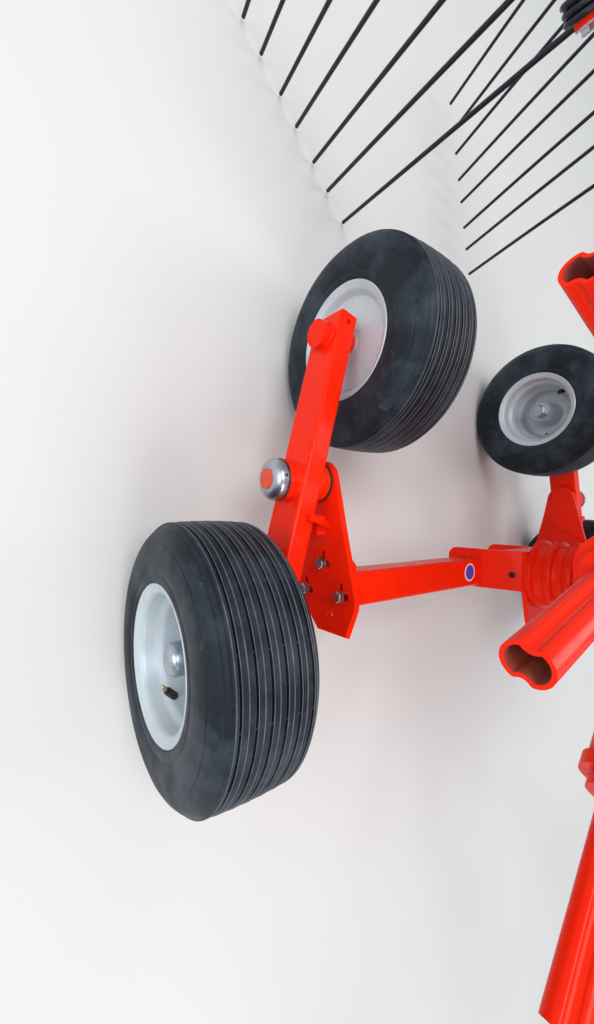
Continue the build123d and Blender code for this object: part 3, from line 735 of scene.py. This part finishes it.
def label_film(colour):
    """Blank round label: a coloured field inside a white rim, by distance from the label's middle."""
    def field_and_rim(tree, coords):
        x, y, _ = LABEL_MIDDLE
        shift = add(tree, "ShaderNodeMapping", in_Location=(-x * MM, -y * MM, 0.0))
        tree.links.new(coords, shift.inputs["Vector"])
        flat = add(tree, "ShaderNodeVectorMath", operation="MULTIPLY")
        flat.inputs[1].default_value = (1.0, 1.0, 0.0)
        tree.links.new(shift.outputs["Vector"], flat.inputs[0])
        reach = add(tree, "ShaderNodeVectorMath", operation="LENGTH")
        tree.links.new(flat.outputs["Vector"], reach.inputs[0])
        field = mixed(tree, remap(tree, noise(tree, coords, 120.0), 0.3, 0.8), colour, shade(colour, 0.85))
        return mixed(tree, remap(tree, reach.outputs["Value"], *LABEL_RIM), field, (0.8, 0.8, 0.8))
    return surface("label_film", field_and_rim, (), Sheen(90.0, 0.25, 0.38, high=0.7))


# Geometry Nodes


def new_tree(name, *inputs):
    """A tree with named inputs, and its first and last node."""
    tree = bpy.data.node_groups.new(name, "GeometryNodeTree")
    tree.is_modifier = True
    tree.interface.new_socket("Geometry", in_out="INPUT", socket_type="NodeSocketGeometry")
    for label, kind, value in (*inputs, ("Material", "NodeSocketMaterial", None)):
        socket = tree.interface.new_socket(label, in_out="INPUT", socket_type=kind)
        if value is not None:
            socket.default_value = value
    tree.interface.new_socket("Geometry", in_out="OUTPUT", socket_type="NodeSocketGeometry")
    return tree, tree.nodes.new("NodeGroupInput"), tree.nodes.new("NodeGroupOutput")


def copies(tree, given, made, points, form, rotation=None):
    """Ends a tree: the form on each point, made real and given the tree's material."""
    link = tree.links.new
    spread = add(tree, "GeometryNodeInstanceOnPoints")
    link(points, spread.inputs["Points"])
    link(form, spread.inputs["Instance"])
    if rotation is not None:
        link(rotation, spread.inputs["Rotation"])
    real = add(tree, "GeometryNodeRealizeInstances")
    link(spread.outputs[0], real.inputs[0])
    paint_on = add(tree, "GeometryNodeSetMaterial")
    link(real.outputs[0], paint_on.inputs["Geometry"])
    link(given.outputs["Material"], paint_on.inputs["Material"])
    link(paint_on.outputs[0], made.inputs[0])
    return tree


def apply_tree(piece, tree, name, **values):
    """Adds the tree to the piece, sets its inputs by identifier and freezes the result."""
    modifier = piece.modifiers.new(tree.name, "NODES")
    modifier.node_group = tree
    for item in tree.interface.items_tree:
        key = item.name.lower().replace(" ", "_")
        if item.in_out == "INPUT" and key in values:
            modifier[item.identifier] = values[key]
    return frozen(piece, name)


def hex_bolt_tree():
    """A washer and a hexagon head on each vertex, turned to the vertex's "facing" attribute."""
    tree, given, made = new_tree(
        "Hex bolts", ("Across Flats", "NodeSocketFloat", 0.019), ("Head Height", "NodeSocketFloat", 0.008),
        ("Washer Radius", "NodeSocketFloat", 0.0135), ("Washer Height", "NodeSocketFloat", 0.0025))
    link = tree.links.new
    stack = add(tree, "GeometryNodeJoinGeometry")
    washer = given.outputs["Washer Height"]

    def share(name, part):
        return computed(tree, "MULTIPLY", given.outputs[name], part)

    def stacked(kind, steps, height, **measures):
        """A cylinder or cone on the axis, lifted by the height."""
        form = add(tree, kind, in_Vertices=steps)
        for key, value in measures.items():
            link(value, form.inputs[key.replace("_", " ")])
        shift = add(tree, "ShaderNodeCombineXYZ")
        link(height, shift.inputs["Z"])
        move = add(tree, "GeometryNodeTransform")
        link(form.outputs["Mesh"], move.inputs["Geometry"])
        link(shift.outputs[0], move.inputs["Translation"])
        link(move.outputs["Geometry"], stack.inputs[0])

    # a hexagon's corners lie 0.577 of its width across flats from its middle
    corner, chamfer = share("Across Flats", 0.577), share("Across Flats", 0.49)
    straight, bevel = share("Head Height", 0.8), share("Head Height", 0.2)
    stacked("GeometryNodeMeshCylinder", 40, share("Washer Height", 0.5),
            Radius=given.outputs["Washer Radius"], Depth=washer)
    stacked("GeometryNodeMeshCone", 6, washer, Radius_Bottom=corner, Radius_Top=corner, Depth=straight)
    stacked("GeometryNodeMeshCone", 6, computed(tree, "ADD", washer, straight),
            Radius_Bottom=corner, Radius_Top=chamfer, Depth=bevel)
    way = add(tree, "GeometryNodeInputNamedAttribute", data_type="FLOAT_VECTOR", in_Name="facing")
    turn = add(tree, "FunctionNodeAlignRotationToVector", axis="Z")
    link(way.outputs["Attribute"], turn.inputs["Vector"])
    return copies(tree, given, made, given.outputs["Geometry"], stack.outputs[0], turn.outputs["Rotation"])


def wire_tree():
    """Sweeps a round wire along the given curve and repeats it along local X."""
    tree, given, made = new_tree(
        "Double tines", ("Wire Radius", "NodeSocketFloat", 0.0045), ("Count", "NodeSocketInt", 4),
        ("Spacing", "NodeSocketFloat", 0.145), ("Start", "NodeSocketFloat", 0.9))
    link = tree.links.new
    ring = add(tree, "GeometryNodeCurvePrimitiveCircle", in_Resolution=10)
    link(given.outputs["Wire Radius"], ring.inputs["Radius"])
    sweep = add(tree, "GeometryNodeCurveToMesh", in_Fill_Caps=True)
    link(given.outputs["Geometry"], sweep.inputs["Curve"])
    link(ring.outputs["Curve"], sweep.inputs["Profile Curve"])
    line = add(tree, "GeometryNodeMeshLine", mode="OFFSET")
    link(given.outputs["Count"], line.inputs["Count"])
    for label, target in (("Start", "Start Location"), ("Spacing", "Offset")):
        vector = add(tree, "ShaderNodeCombineXYZ")
        link(given.outputs[label], vector.inputs["X"])
        link(vector.outputs[0], line.inputs[target])
    return copies(tree, given, made, line.outputs["Mesh"], sweep.outputs["Mesh"])


def turn_tree():
    """Repeats the given mesh about the rotor's axis by a count, a step and a start angle."""
    tree, given, made = new_tree(
        "Repeat about the column", ("Count", "NodeSocketInt", 4),
        ("Step", "NodeSocketFloat", radians(ARM_STEP)), ("First", "NodeSocketFloat", 0.0))
    link = tree.links.new
    spots = add(tree, "GeometryNodePoints")
    link(given.outputs["Count"], spots.inputs["Count"])
    angle = add(tree, "ShaderNodeMath", operation="MULTIPLY_ADD")
    link(add(tree, "GeometryNodeInputIndex").outputs[0], angle.inputs[0])
    link(given.outputs["Step"], angle.inputs[1])
    link(given.outputs["First"], angle.inputs[2])
    turn = add(tree, "ShaderNodeCombineXYZ")
    link(angle.outputs[0], turn.inputs["Z"])
    return copies(tree, given, made, spots.outputs[0], given.outputs["Geometry"], turn.outputs[0])


def bolts(name, places, material, size):
    """Bolts at (point, facing) places as one mesh."""
    data = bpy.data.meshes.new(name)
    data.from_pydata([tuple(p) for p, _ in places], [], [])
    facing = data.attributes.new("facing", "FLOAT_VECTOR", "POINT")
    for k, (_, way) in enumerate(places):
        facing.data[k].vector = way
    tree = bpy.data.node_groups.get("Hex bolts") or hex_bolt_tree()
    made = apply_tree(
        placed(name, data), tree, name, across_flats=size.across, head_height=size.head,
        washer_radius=size.washer, washer_height=size.thick, material=material)
    return smooth(made, 30)


def round_the_drum(name, piece, first, material):
    """The piece on every arm's place of the drum, as one mesh."""
    return apply_tree(
        piece, turn_tree(), name, count=ARM_COUNT, step=radians(ARM_STEP), first=radians(first),
        material=material)


# Settings that a user would change


def a_colour(name, description, default):
    return FloatVectorProperty(
        name=name, description=description, default=default, subtype="COLOR", size=3, min=0.0, max=1.0)


def a_length(name, description, default, low, high):
    return FloatProperty(
        name=name, description=description, default=default, unit="LENGTH", min=low, max=high)


def a_count(name, description, default, low, high):
    return IntProperty(name=name, description=description, default=default, min=low, max=high)


class RakeFinishes(bpy.types.PropertyGroup):
    paint: a_colour("Frame paint", "Colour of the frame, beams, sockets and rotor", (0.86, 0.018, 0.002))
    rim: a_colour("Rim paint", "Colour of the wheel rims", (0.53, 0.59, 0.635))
    rubber: a_colour("Tyre rubber", "Colour of clean tyre rubber", (0.009, 0.012, 0.017))
    zinc: a_colour("Zinc plate", "Colour of bolts, caps and washers", (0.44, 0.48, 0.53))
    steel: a_colour("Turned steel", "Colour of shafts and axles", (0.42, 0.42, 0.43))
    spring: a_colour("Spring steel", "Colour of the tines", (0.010, 0.012, 0.018))
    label: a_colour("Label", "Colour of the blank round label's field", (0.05, 0.07, 0.55))


class RakeSizes(bpy.types.PropertyGroup):
    turns: a_count("Lathe steps", "Steps in a full turn of wheels and rings", 144, 48, 256)
    wire_radius: a_length("Tine wire radius", "Radius of the tine wire", 0.0045, 0.003, 0.006)
    coil_radius: a_length("Coil radius", "Middle radius of a tine's coil", 0.0195, 0.015, 0.025)
    coil_turns: a_count("Coil turns", "Turns in each half of a double tine", 3, 2, 4)
    tine_reach: a_length("Tine reach", "From the arm's axis to a tine's tip", 0.672, 0.5, 0.672)
    pairs: a_count("Double tines", "Double tines on one arm", 4, 1, 4)
    pair_step: a_length("Double tine step", "From one double tine to the next", 0.145, 0.12, 0.145)
    pair_width: a_length("Double tine width", "Between the two legs of a double tine", 0.078, 0.06, 0.08)
    label_radius: a_length("Label radius", "Radius of the blank round label", 0.0205, 0.01, 0.03)


def finishes():
    return bpy.context.scene.rake_finishes


def sizes():
    return bpy.context.scene.rake_sizes


def paint():
    return enamel(finishes().paint)


def zinc():
    return zinc_plate(finishes().zinc)


# Operators


class RAKE_OT_finishes(bpy.types.Operator):
    """Give every carried-over solid its material"""
    bl_idname = "rake.finishes"
    bl_label = "Finish the solids"

    def execute(self, context):
        f = finishes()
        by_slot = {
            "frame_paint": enamel(f.paint), "rim_silver": rim_enamel(f.rim),
            "tyre": tyre_rubber(f.rubber), "zinc": zinc_plate(f.zinc),
            "steel": turned_steel(f.steel), "spring_black": spring_steel(f.spring),
        }
        for part in frame["record"]["subparts"]:
            solid = frame["nodes"][part["node"]]
            solid.data.materials.clear()
            solid.data.materials.append(by_slot[part["material_slot"]])
        return {"FINISHED"}


def groove_outline(middle, half, depth):
    """Section of one groove of the tread, from lip to lip."""
    crown = tread_crown(middle)
    lip, floor = crown - GROOVE_LIP, half * GROOVE_FLOOR_SHARE
    return [
        (middle + half + GROOVE_LIP, crown), (middle + half, lip), (middle + floor, crown - depth),
        (middle - floor, crown - depth), (middle - half, lip), (middle - half - GROOVE_LIP, crown)]


def ridge_outline(middle):
    """Section of one fine line moulded on the tread."""
    crown = tread_crown(middle)
    top = crown + RIDGE_RISE
    return [
        (middle + RIDGE_FOOT_HALF, crown), (middle + RIDGE_TOP_HALF, top),
        (middle - RIDGE_TOP_HALF, top), (middle - RIDGE_FOOT_HALF, crown)]


def wear_bars(name, place):
    """Low blocks across the grooves, in rows round the tread."""
    corners, faces = [], []
    for row in range(WEAR_ROWS):
        angle = radians(WEAR_FIRST_ROW) + 2 * pi * row / WEAR_ROWS
        for middle, half, depth in GROOVES:
            first, top = len(corners), tread_crown(middle) - WEAR_BAR_DROP
            corners += [
                place(middle + a * half * WEAR_BAR_WIDTH_SHARE, r, angle + t * WEAR_BAR_HALF_ANGLE)
                for a in (-1, 1) for r in (top - depth + WEAR_BAR_FOOT, top) for t in (-1, 1)]
            faces += [tuple(first + k for k in loop) for loop in (
                (0, 1, 3, 2), (4, 5, 7, 6), (0, 1, 5, 4), (2, 3, 7, 6), (0, 2, 6, 4), (1, 3, 7, 5))]
    return new_piece(name, corners, faces)


class RAKE_OT_tyres(bpy.types.Operator):
    """Build the four ribbed tyres with rings on their sidewalls"""
    bl_idname = "rake.tyres"
    bl_label = "Tyres"

    def execute(self, context):
        # this list holds the points of the section after which a band of paler rubber follows: wear and a
        # painted highlight on the groove lips and fine lines
        section, worn_and_highlit = list(TYRE_SECTION), []
        for middle, half, depth in sorted([*GROOVES, *((ridge, 0.0, 0.0) for ridge in RIDGES)], reverse=True):
            first = len(section)
            if half:
                section += groove_outline(middle, half, depth)
                worn_and_highlit += [first, first + 4]
            else:
                section += ridge_outline(middle)
                worn_and_highlit += [first, first + 1, first + 2]
        section += [(-a, r) for a, r in reversed(TYRE_SECTION)]
        rubber, edge, steps = tyre_rubber(finishes().rubber), worn_rubber(), sizes().turns
        for name, x, y, toward in WHEELS:
            place = about_y(x, y, AXLE_HEIGHT, toward)
            tyre = coloured(lathe(name + "_ribbed_tyre", section, steps, place, 28.0), rubber, edge)
            for face in tyre.data.polygons:
                face.material_index = int(face.index // steps in worn_and_highlit)
            settle(tyre, name + "_wheel", None, [name + "_tyre"])
            settle(wear_bars(name + "_wear_bars", place), name + "_wheel", rubber)
        return {"FINISHED"}


def valve(name, place, turn, low, high):
    """Rubber stem and neck and brass tip of a valve that leans out of the rim's barrel towards the axle."""
    root, end = place(*low, turn), place(*high, turn)
    way = (end - root).normalized()
    parts = ((VALVE_STEM, seal_rubber()), (VALVE_NECK, seal_rubber()), (VALVE_TIP, brass()))
    return joined(name, [pin(shape, root, way, material) for shape, material in parts])


def disc_holes(name, place, turn, toward):
    """Three small holes in the wheel's disc, shown by dark discs of painted shade."""
    spots = [place(*DISC_HOLE, turn + radians(30 + 120 * k)) for k in range(3)]
    way = Vector((0, toward, 0))
    return joined(name, [pin(DISC_HOLE_SHADE, spot, way, seal_rubber()) for spot in spots])


class RAKE_OT_rims(bpy.types.Operator):
    """Build the stepped rims with their valve and small holes"""
    bl_idname = "rake.rims"
    bl_label = "Rims"

    def execute(self, context):
        silver = rim_enamel(finishes().rim)
        for name, x, y, toward in WHEELS:
            place = about_y(x, y, AXLE_HEIGHT, toward)
            rim = lathe(name + "_stepped_rim", RIM_SECTION, sizes().turns, place, 40.0)
            settle(rim, name + "_wheel", silver, [name + "_rim"])
            turn, low, high = VALVES["front" if "front" in name else "rear"]
            turn = radians(turn)
            settle(disc_holes(name + "_disc_holes", place, turn, toward), name + "_wheel")
            settle(valve(name + "_valve", place, turn, low, high), name + "_wheel")
        return {"FINISHED"}


class RAKE_OT_hubs(bpy.types.Operator):
    """Build the domed hub caps of the rear wheels and the hub bolts of the front wheels"""
    bl_idname = "rake.hubs"
    bl_label = "Hub caps and bolts"

    def execute(self, context):
        plate = zinc()
        for name, x, y, toward in WHEELS:
            place = about_y(x, y, AXLE_HEIGHT, toward)
            if "rear" in name:
                cap = lathe(name + "_domed_cap", DOME_CAP_SECTION, 64, place)
            else:
                spot = place(HUB_FACE, 0, 0)
                cap = bolts(name + "_hub_bolt", [(spot, (0, toward, 0))], plate, HUB_BOLT)
            settle(cap, name + "_wheel", plate, [name + "_hub_cap"])
        return {"FINISHED"}


class RAKE_OT_bracket_bolts(bpy.types.Operator):
    """Put the zinc bolts on both brackets"""
    bl_idname = "rake.bracket_bolts"
    bl_label = "Bracket bolts"

    def execute(self, context):
        places = [(point(x, side * BRACKET_FACE_MM, height), (0, side, 0))
                  for side in SIDES for x, height in BRACKET_BOLTS]
        settle(bolts("bracket_bolts", places, zinc(), BRACKET_BOLT), "chassis")
        return {"FINISHED"}


class RAKE_OT_pivots(bpy.types.Operator):
    """Build the seal rings and the domed cap rings of both beam pivots"""
    bl_idname = "rake.pivots"
    bl_label = "Beam pivots"

    def execute(self, context):
        rings, caps = [], []
        for side in SIDES:
            place = about_y(PIVOT[0], 0.0, PIVOT[1], side)
            rings += [coloured(lathe("seal", section, 72, place), seal_rubber()) for section in SEAL_SECTIONS]
            caps.append(coloured(lathe("cap", CAP_RING_SECTION, 72, place), zinc()))
        settle(joined("pivot_seals", rings), "chassis")
        settle(joined("domed_cap_rings", caps), "chassis", None, ["pivot_caps"])
        return {"FINISHED"}


class RAKE_OT_plugs(bpy.types.Operator):
    """Put the orange plug and the small set screw on both pivot caps, and dark cups of painted shade in the
    foot's holes
    """
    bl_idname = "rake.plugs"
    bl_label = "Cap plugs and set screws"

    def execute(self, context):
        painted_shade = seal_rubber()
        plugs, screws, hole_shades = [], [], []
        turn = radians(SET_SCREW_TURN)
        out = Vector((cos(turn), 0, sin(turn)))
        for side in SIDES:
            place = about_y(PIVOT[0], 0.0, PIVOT[1], side)
            plugs.append(coloured(lathe("plug", CAP_PLUG_SECTION, 56, place), plug_enamel()))
            seat = place(*SET_SCREW, turn)
            # the screw's socket is a dark hexagon of painted shade
            screws += [pin(SCREW_COLLAR, seat, out, zinc()), pin(SCREW_SOCKET_SHADE, seat, out, painted_shade)]
            hole = about_y(0.0, 0.0, FOOT_HOLE_HEIGHT, side)
            # a dark cup of painted shade in the foot's hole
            hole_shades.append(coloured(lathe("hole_shade", FOOT_HOLE_SHADE_SECTION, 40, hole), painted_shade))
        settle(joined("cap_plugs", plugs), "chassis")
        settle(joined("cap_set_screws", screws), "chassis")
        settle(joined("foot_hole_cups", hole_shades), "chassis")
        return {"FINISHED"}


class RAKE_OT_collars(bpy.types.Operator):
    """Put the painted collars between the beams and the wheels' discs"""
    bl_idname = "rake.collars"
    bl_label = "Axle collars"

    def execute(self, context):
        bore, edge, outer = COLLAR_RADII
        collars = []
        for _, x, y, toward in WHEELS:
            side = y / abs(y)
            beam_face = side * beam_middle(x / MM) + toward * BEAM_HALF_MM
            low, high = sorted((y / MM - toward * DISC_FACE_MM, beam_face))
            section = (
                (low, bore), (low, edge), (low + COLLAR_CHAMFER, outer),
                (high - COLLAR_CHAMFER, outer), (high, edge), (high, bore))
            collars.append(coloured(lathe("collar", section, 56, about_y(x, 0.0, AXLE_HEIGHT)), paint()))
        settle(joined("axle_collars", collars), "chassis")
        return {"FINISHED"}


class RAKE_OT_linings(bpy.types.Operator):
    """Line the open arm sockets with a thin dark sheet of painted shade"""
    bl_idname = "rake.linings"
    bl_label = "Socket linings"

    def execute(self, context):
        outer, inner = (lobed_loop(depth) for depth in LINING_DEPTHS)
        mouth, end = (SOCKET_RUN - depth for depth in LINING_ENDS)
        count = len(outer)
        linings = []
        for k in range(ARM_COUNT):
            if k in MOUNTED:
                continue
            frame_at = arm_frame(FIRST_ARM + ARM_STEP * k, EMPTY_SWING)
            corners, faces = [], []
            for along, loop in ((mouth, outer), (end, outer), (end, inner), (mouth, inner)):
                corners += [frame_at @ Vector((along, a * MM, b * MM)) for a, b in loop]
            for ring in range(4):
                faces += band(ring * count, ((ring + 1) % 4) * count, count)
            # a dark red sheet just inside each open socket: painted shade
            linings.append(coloured(new_piece("lining", corners, faces, 40.0), inside_paint()))
        settle(joined("socket_linings", linings), "rotor")
        return {"FINISHED"}


def chassis_welds():
    """Beads under the column and round the tubes' ends, the stops and the beams' bosses."""
    beads = [bead([point(a, b, FOOT_TOP_MM + 0.5) for a, b in ring_loop(COLUMN_WELD_RADIUS)], COLUMN_BEAD)]
    for side in SIDES:
        x, height = TUBE_WELD_MIDDLE
        for y in TUBE_WELD_ENDS:
            path = [point(x + a, side * y, height + b) for a, b in rounded_loop(*TUBE_WELD)]
            beads.append(bead(path, TUBE_BEAD))
        x, y, height = STOP_WELD_MIDDLE
        path = [point(x + a, side * y, height + b) for a, b in rounded_loop(*STOP_WELD)]
        beads.append(bead(path, STOP_BEAD))
        for x, height, radius, hand in BEAM_WELDS:
            path = [point(x + a, side * (beam_middle(x + a) + hand * BEAM_HALF_MM), height + b)
                    for a, b in ring_loop(radius)]
            beads.append(bead(path, BOSS_BEAD))
    return beads


def housing_welds():
    """Beads where the arm housings meet the round drum."""
    beads = []
    for k in range(ARM_COUNT):
        frame_at = arm_frame(FIRST_ARM + ARM_STEP * k, 0.0)
        path = []
        for a, b in ring_loop(HOUSING_WELD_RADIUS):
            across = a * MM - ARM_SIDE
            path.append(frame_at @ Vector(((DRUM_RADIUS ** 2 - across ** 2) ** 0.5, a * MM, b * MM)))
        beads.append(bead(path, HOUSING_BEAD))
    return beads


class RAKE_OT_welds(bpy.types.Operator):
    """Lay the weld beads of the foot, tubes, brackets, beams and housings"""
    bl_idname = "rake.welds"
    bl_label = "Weld beads"

    def execute(self, context):
        skin = weld_enamel(finishes().paint)
        for name, body, beads in (
            ("chassis_weld_beads", "chassis", chassis_welds()),
            ("housing_weld_beads", "rotor", housing_welds()),
        ):
            settle(joined(name, [coloured(piece, skin) for piece in beads]), body)
        return {"FINISHED"}


class RAKE_OT_column(bpy.types.Operator):
    """Turn the ringed column"""
    bl_idname = "rake.column"
    bl_label = "Ringed column"

    def execute(self, context):
        section = [(FOOT_TOP_MM + height, radius) for radius, height in COLUMN_SECTION]
        column = lathe("ringed_column", section, sizes().turns, about_z)
        settle(column, "chassis", paint(), ["column_rings"])
        return {"FINISHED"}


class RAKE_OT_label(bpy.types.Operator):
    """Lay the blank round label on the left axle tube"""
    bl_idname = "rake.label"
    bl_label = "Blank label"

    def execute(self, context):
        radius = sizes().label_radius
        middle = point(*LABEL_MIDDLE)

        def place(along, r, angle):
            return middle + Vector((r * cos(angle), r * sin(angle), along))
        section = ((0.0, 0.0), (0.0, radius), (LABEL_EDGE, radius), (LABEL_CROWN, 0.0))
        film = lathe("blank_label", section, 64, place)
        settle(film, "chassis", label_film(finishes().label))
        return {"FINISHED"}


class RAKE_OT_drive_bolts(bpy.types.Operator):
    """Bolt up the gear case, its cover and the drum, and put a grease nipple on each arm housing"""
    bl_idname = "rake.drive_bolts"
    bl_label = "Bolts of the gear case and drum"

    def execute(self, context):
        plate = zinc()
        x, y, height = CASE_BOLTS_MM
        corners = [(point(a * x, b * y, height), UP) for a in (1, -1) for b in (1, -1)]
        settle(bolts("case_corner_bolts", corners, plate, CASE_BOLT), "chassis")
        ring = []
        for k in range(6):
            angle = radians(30 + 60 * k)
            y, rise = COVER_BOLTS_RADIUS * cos(angle), COVER_BOLTS_RADIUS * sin(angle)
            ring.append((Vector((COVER_BOLTS_X, y, INPUT_HEIGHT + rise)), Vector((1, 0, 0))))
        settle(bolts("cover_bolts", ring, plate, COVER_BOLT), "chassis")
        plugs = [(point(x, side * OIL_PLUG_FACE_MM, height), Vector((0, side, 0)))
                 for x, side, height in OIL_PLUGS]
        settle(bolts("oil_plugs", plugs, plate, OIL_PLUG), "chassis")
        pair = [(Vector((DRUM_BOLT_CIRCLE, 0, ARM_HEIGHT + hand * DRUM_HALF)), UP * hand) for hand in (1, -1)]
        seat = bolts("drum_bolt_seat", pair, plate, DRUM_BOLT)
        settle(round_the_drum("drum_bolts", seat, DRUM_BOLT_TURN, plate), "rotor", plate)
        foot = arm_frame(FIRST_ARM, 0.0) @ Vector(NIPPLE_FOOT)
        nipple = joined("nipple", [pin(shape, foot, UP) for shape in NIPPLE_PARTS])
        nipples = round_the_drum("grease_nipples", nipple, 0.0, plate)
        settle(nipples, "rotor", plate)
        return {"FINISHED"}


class RAKE_OT_clamp_bolts(bpy.types.Operator):
    """Bolt each double tine to its holder"""
    bl_idname = "rake.clamp_bolts"
    bl_label = "Tine clamp bolts"

    def execute(self, context):
        s = sizes()
        for name, azimuth, swing in ARMS:
            frame_at = arm_frame(azimuth, swing)
            way = (frame_at.to_3x3() @ Vector((1, 0, 0))).normalized()
            places = []
            for k in range(s.pairs):
                along = SOCKET_RUN + FIRST_PAIR + k * s.pair_step
                for hand in (1, -1):
                    spot = frame_at @ Vector((along + hand * CLAMP_REACH, 0, -COIL_DROP))
                    places.append((spot, way * hand))
            settle(bolts(name + "_clamp_bolts", places, zinc(), CLAMP_BOLT), name)
        return {"FINISHED"}


def half_tine(side):
    """Points along one half of a double tine: its coil about local X, then its slightly bowed leg."""
    s = sizes()
    inner, outer = COIL_GAP_HALF, s.pair_width / 2
    path = []
    steps = COIL_STEPS * s.coil_turns
    for k in range(steps + 1):
        share = k / steps
        angle = 2 * pi * s.coil_turns * share + pi / 2 * share
        path.append((
            side * (inner + (outer - inner) * share),
            -s.coil_radius * sin(angle), -COIL_DROP + s.coil_radius * cos(angle)))
    _, across, height = path[-1]
    leg = s.tine_reach - COIL_DROP
    for k in range(1, LEG_STEPS + 1):
        share = k / LEG_STEPS
        path.append((side * outer, across + LEG_BOW * sin(pi * share), height - leg * share))
    return path


class RAKE_OT_tines(bpy.types.Operator):
    """Wind the double tines of the mounted arms"""
    bl_idname = "rake.tines"
    bl_label = "Double tines"

    def execute(self, context):
        s = sizes()
        black = spring_steel(finishes().spring)
        tree = wire_tree()
        for name, azimuth, swing in ARMS:
            curve = bpy.data.curves.new(name + "_wire", "CURVE")
            curve.dimensions = "3D"
            for side in (-1.0, 1.0):
                path = half_tine(side)
                spline = curve.splines.new("POLY")
                spline.points.add(len(path) - 1)
                for spot, place in zip(spline.points, path):
                    spot.co = (*place, 1.0)
            made = apply_tree(
                placed(name + "_wire", curve), tree, name + "_double_tines", wire_radius=s.wire_radius,
                count=s.pairs, spacing=s.pair_step, start=SOCKET_RUN + FIRST_PAIR, material=black)
            made.data.transform(arm_frame(azimuth, swing))
            settle(smooth(made, 50), name, black, [name + "_tines"])
        return {"FINISHED"}


class RAKE_OT_stage(bpy.types.Operator):
    """Lay the pale floor, hang the soft lights and place the camera"""
    bl_idname = "rake.stage"
    bl_label = "Stage"

    def execute(self, context):
        corners = [(a * FLOOR_HALF, b * FLOOR_HALF, GROUND) for a, b in ((-1, -1), (1, -1), (1, 1), (-1, 1))]
        material = bpy.data.materials.new("pale_floor")
        material.use_nodes = True
        shader = material.node_tree.nodes["Principled BSDF"]
        shader.inputs["Base Color"].default_value = (0.62, 0.62, 0.61, 1.0)
        shader.inputs["Roughness"].default_value = 0.85
        coloured(new_piece("floor", corners, [(0, 1, 2, 3)]), material)
        world = bpy.data.worlds.new("soft_sky")
        world.use_nodes = True
        sky = world.node_tree.nodes["Background"]
        sky.inputs["Color"].default_value = (0.9, 0.95, 1.0, 1.0)
        sky.inputs["Strength"].default_value = 0.55
        context.scene.world = world
        for name, (spot, aim, size, power) in LIGHTS.items():
            lamp = bpy.data.lights.new(name, "AREA")
            lamp.shape = "DISK"
            lamp.size = size
            lamp.energy = power
            light = placed(name, lamp)
            light.location = spot
            light.rotation_euler = (Vector(aim) - Vector(spot)).to_track_quat("-Z", "Y").to_euler()
        # the world's up is the picture's right, so the camera is turned on its side
        pitch, roll = radians(CAMERA_PITCH), radians(CAMERA_ROLL)
        ahead = Vector((0, -cos(pitch), -sin(pitch)))
        level, rise = Vector((-1, 0, 0)), Vector((0, -sin(pitch), cos(pitch)))
        down_picture = cos(roll) * level + sin(roll) * rise
        right_picture = -sin(roll) * level + cos(roll) * rise
        lens = bpy.data.cameras.new("camera")
        lens.sensor_width = 36.0
        lens.lens = CAMERA_LENS
        lens.clip_start = 0.01
        camera = placed("camera", lens)
        turn = Matrix((right_picture, -down_picture, -ahead)).transposed().to_4x4()
        camera.matrix_world = Matrix.Translation(CAMERA_PLACE) @ turn
        context.scene.camera = camera
        context.scene.view_settings.view_transform = "Standard"
        return {"FINISHED"}


OPERATORS = (
    RAKE_OT_finishes, RAKE_OT_tyres, RAKE_OT_rims, RAKE_OT_hubs, RAKE_OT_bracket_bolts, RAKE_OT_pivots,
    RAKE_OT_plugs, RAKE_OT_collars, RAKE_OT_linings, RAKE_OT_welds, RAKE_OT_column, RAKE_OT_label,
    RAKE_OT_drive_bolts, RAKE_OT_clamp_bolts, RAKE_OT_tines, RAKE_OT_stage,
)


class RAKE_PT_panel(bpy.types.Panel):
    """Lists the settings and the steps in order"""
    bl_idname = "RAKE_PT_panel"
    bl_label = "Rotary rake rotor unit"
    bl_space_type = "VIEW_3D"
    bl_region_type = "UI"
    bl_category = "Rake"

    def draw(self, context):
        for group in (context.scene.rake_finishes, context.scene.rake_sizes):
            column = self.layout.column()
            for key in group.__annotations__:
                column.prop(group, key)
        for operator in OPERATORS:
            self.layout.operator(operator.bl_idname)


CLASSES = (RakeFinishes, RakeSizes, *OPERATORS, RAKE_PT_panel)


def register():
    for cls in CLASSES:
        bpy.utils.register_class(cls)
    bpy.types.Scene.rake_finishes = PointerProperty(type=RakeFinishes)
    bpy.types.Scene.rake_sizes = PointerProperty(type=RakeSizes)


def unregister():
    del bpy.types.Scene.rake_sizes
    del bpy.types.Scene.rake_finishes
    for cls in reversed(CLASSES):
        bpy.utils.unregister_class(cls)


def main():
    register()
    bpy.ops.rake.finishes()
    bpy.ops.rake.tyres()
    bpy.ops.rake.rims()
    bpy.ops.rake.hubs()
    bpy.ops.rake.bracket_bolts()
    bpy.ops.rake.pivots()
    bpy.ops.rake.plugs()
    bpy.ops.rake.collars()
    bpy.ops.rake.linings()
    bpy.ops.rake.welds()
    bpy.ops.rake.column()
    bpy.ops.rake.label()
    bpy.ops.rake.drive_bolts()
    bpy.ops.rake.clamp_bolts()
    bpy.ops.rake.tines()
    bpy.ops.rake.stage()


if __name__ == "__main__":
    main()
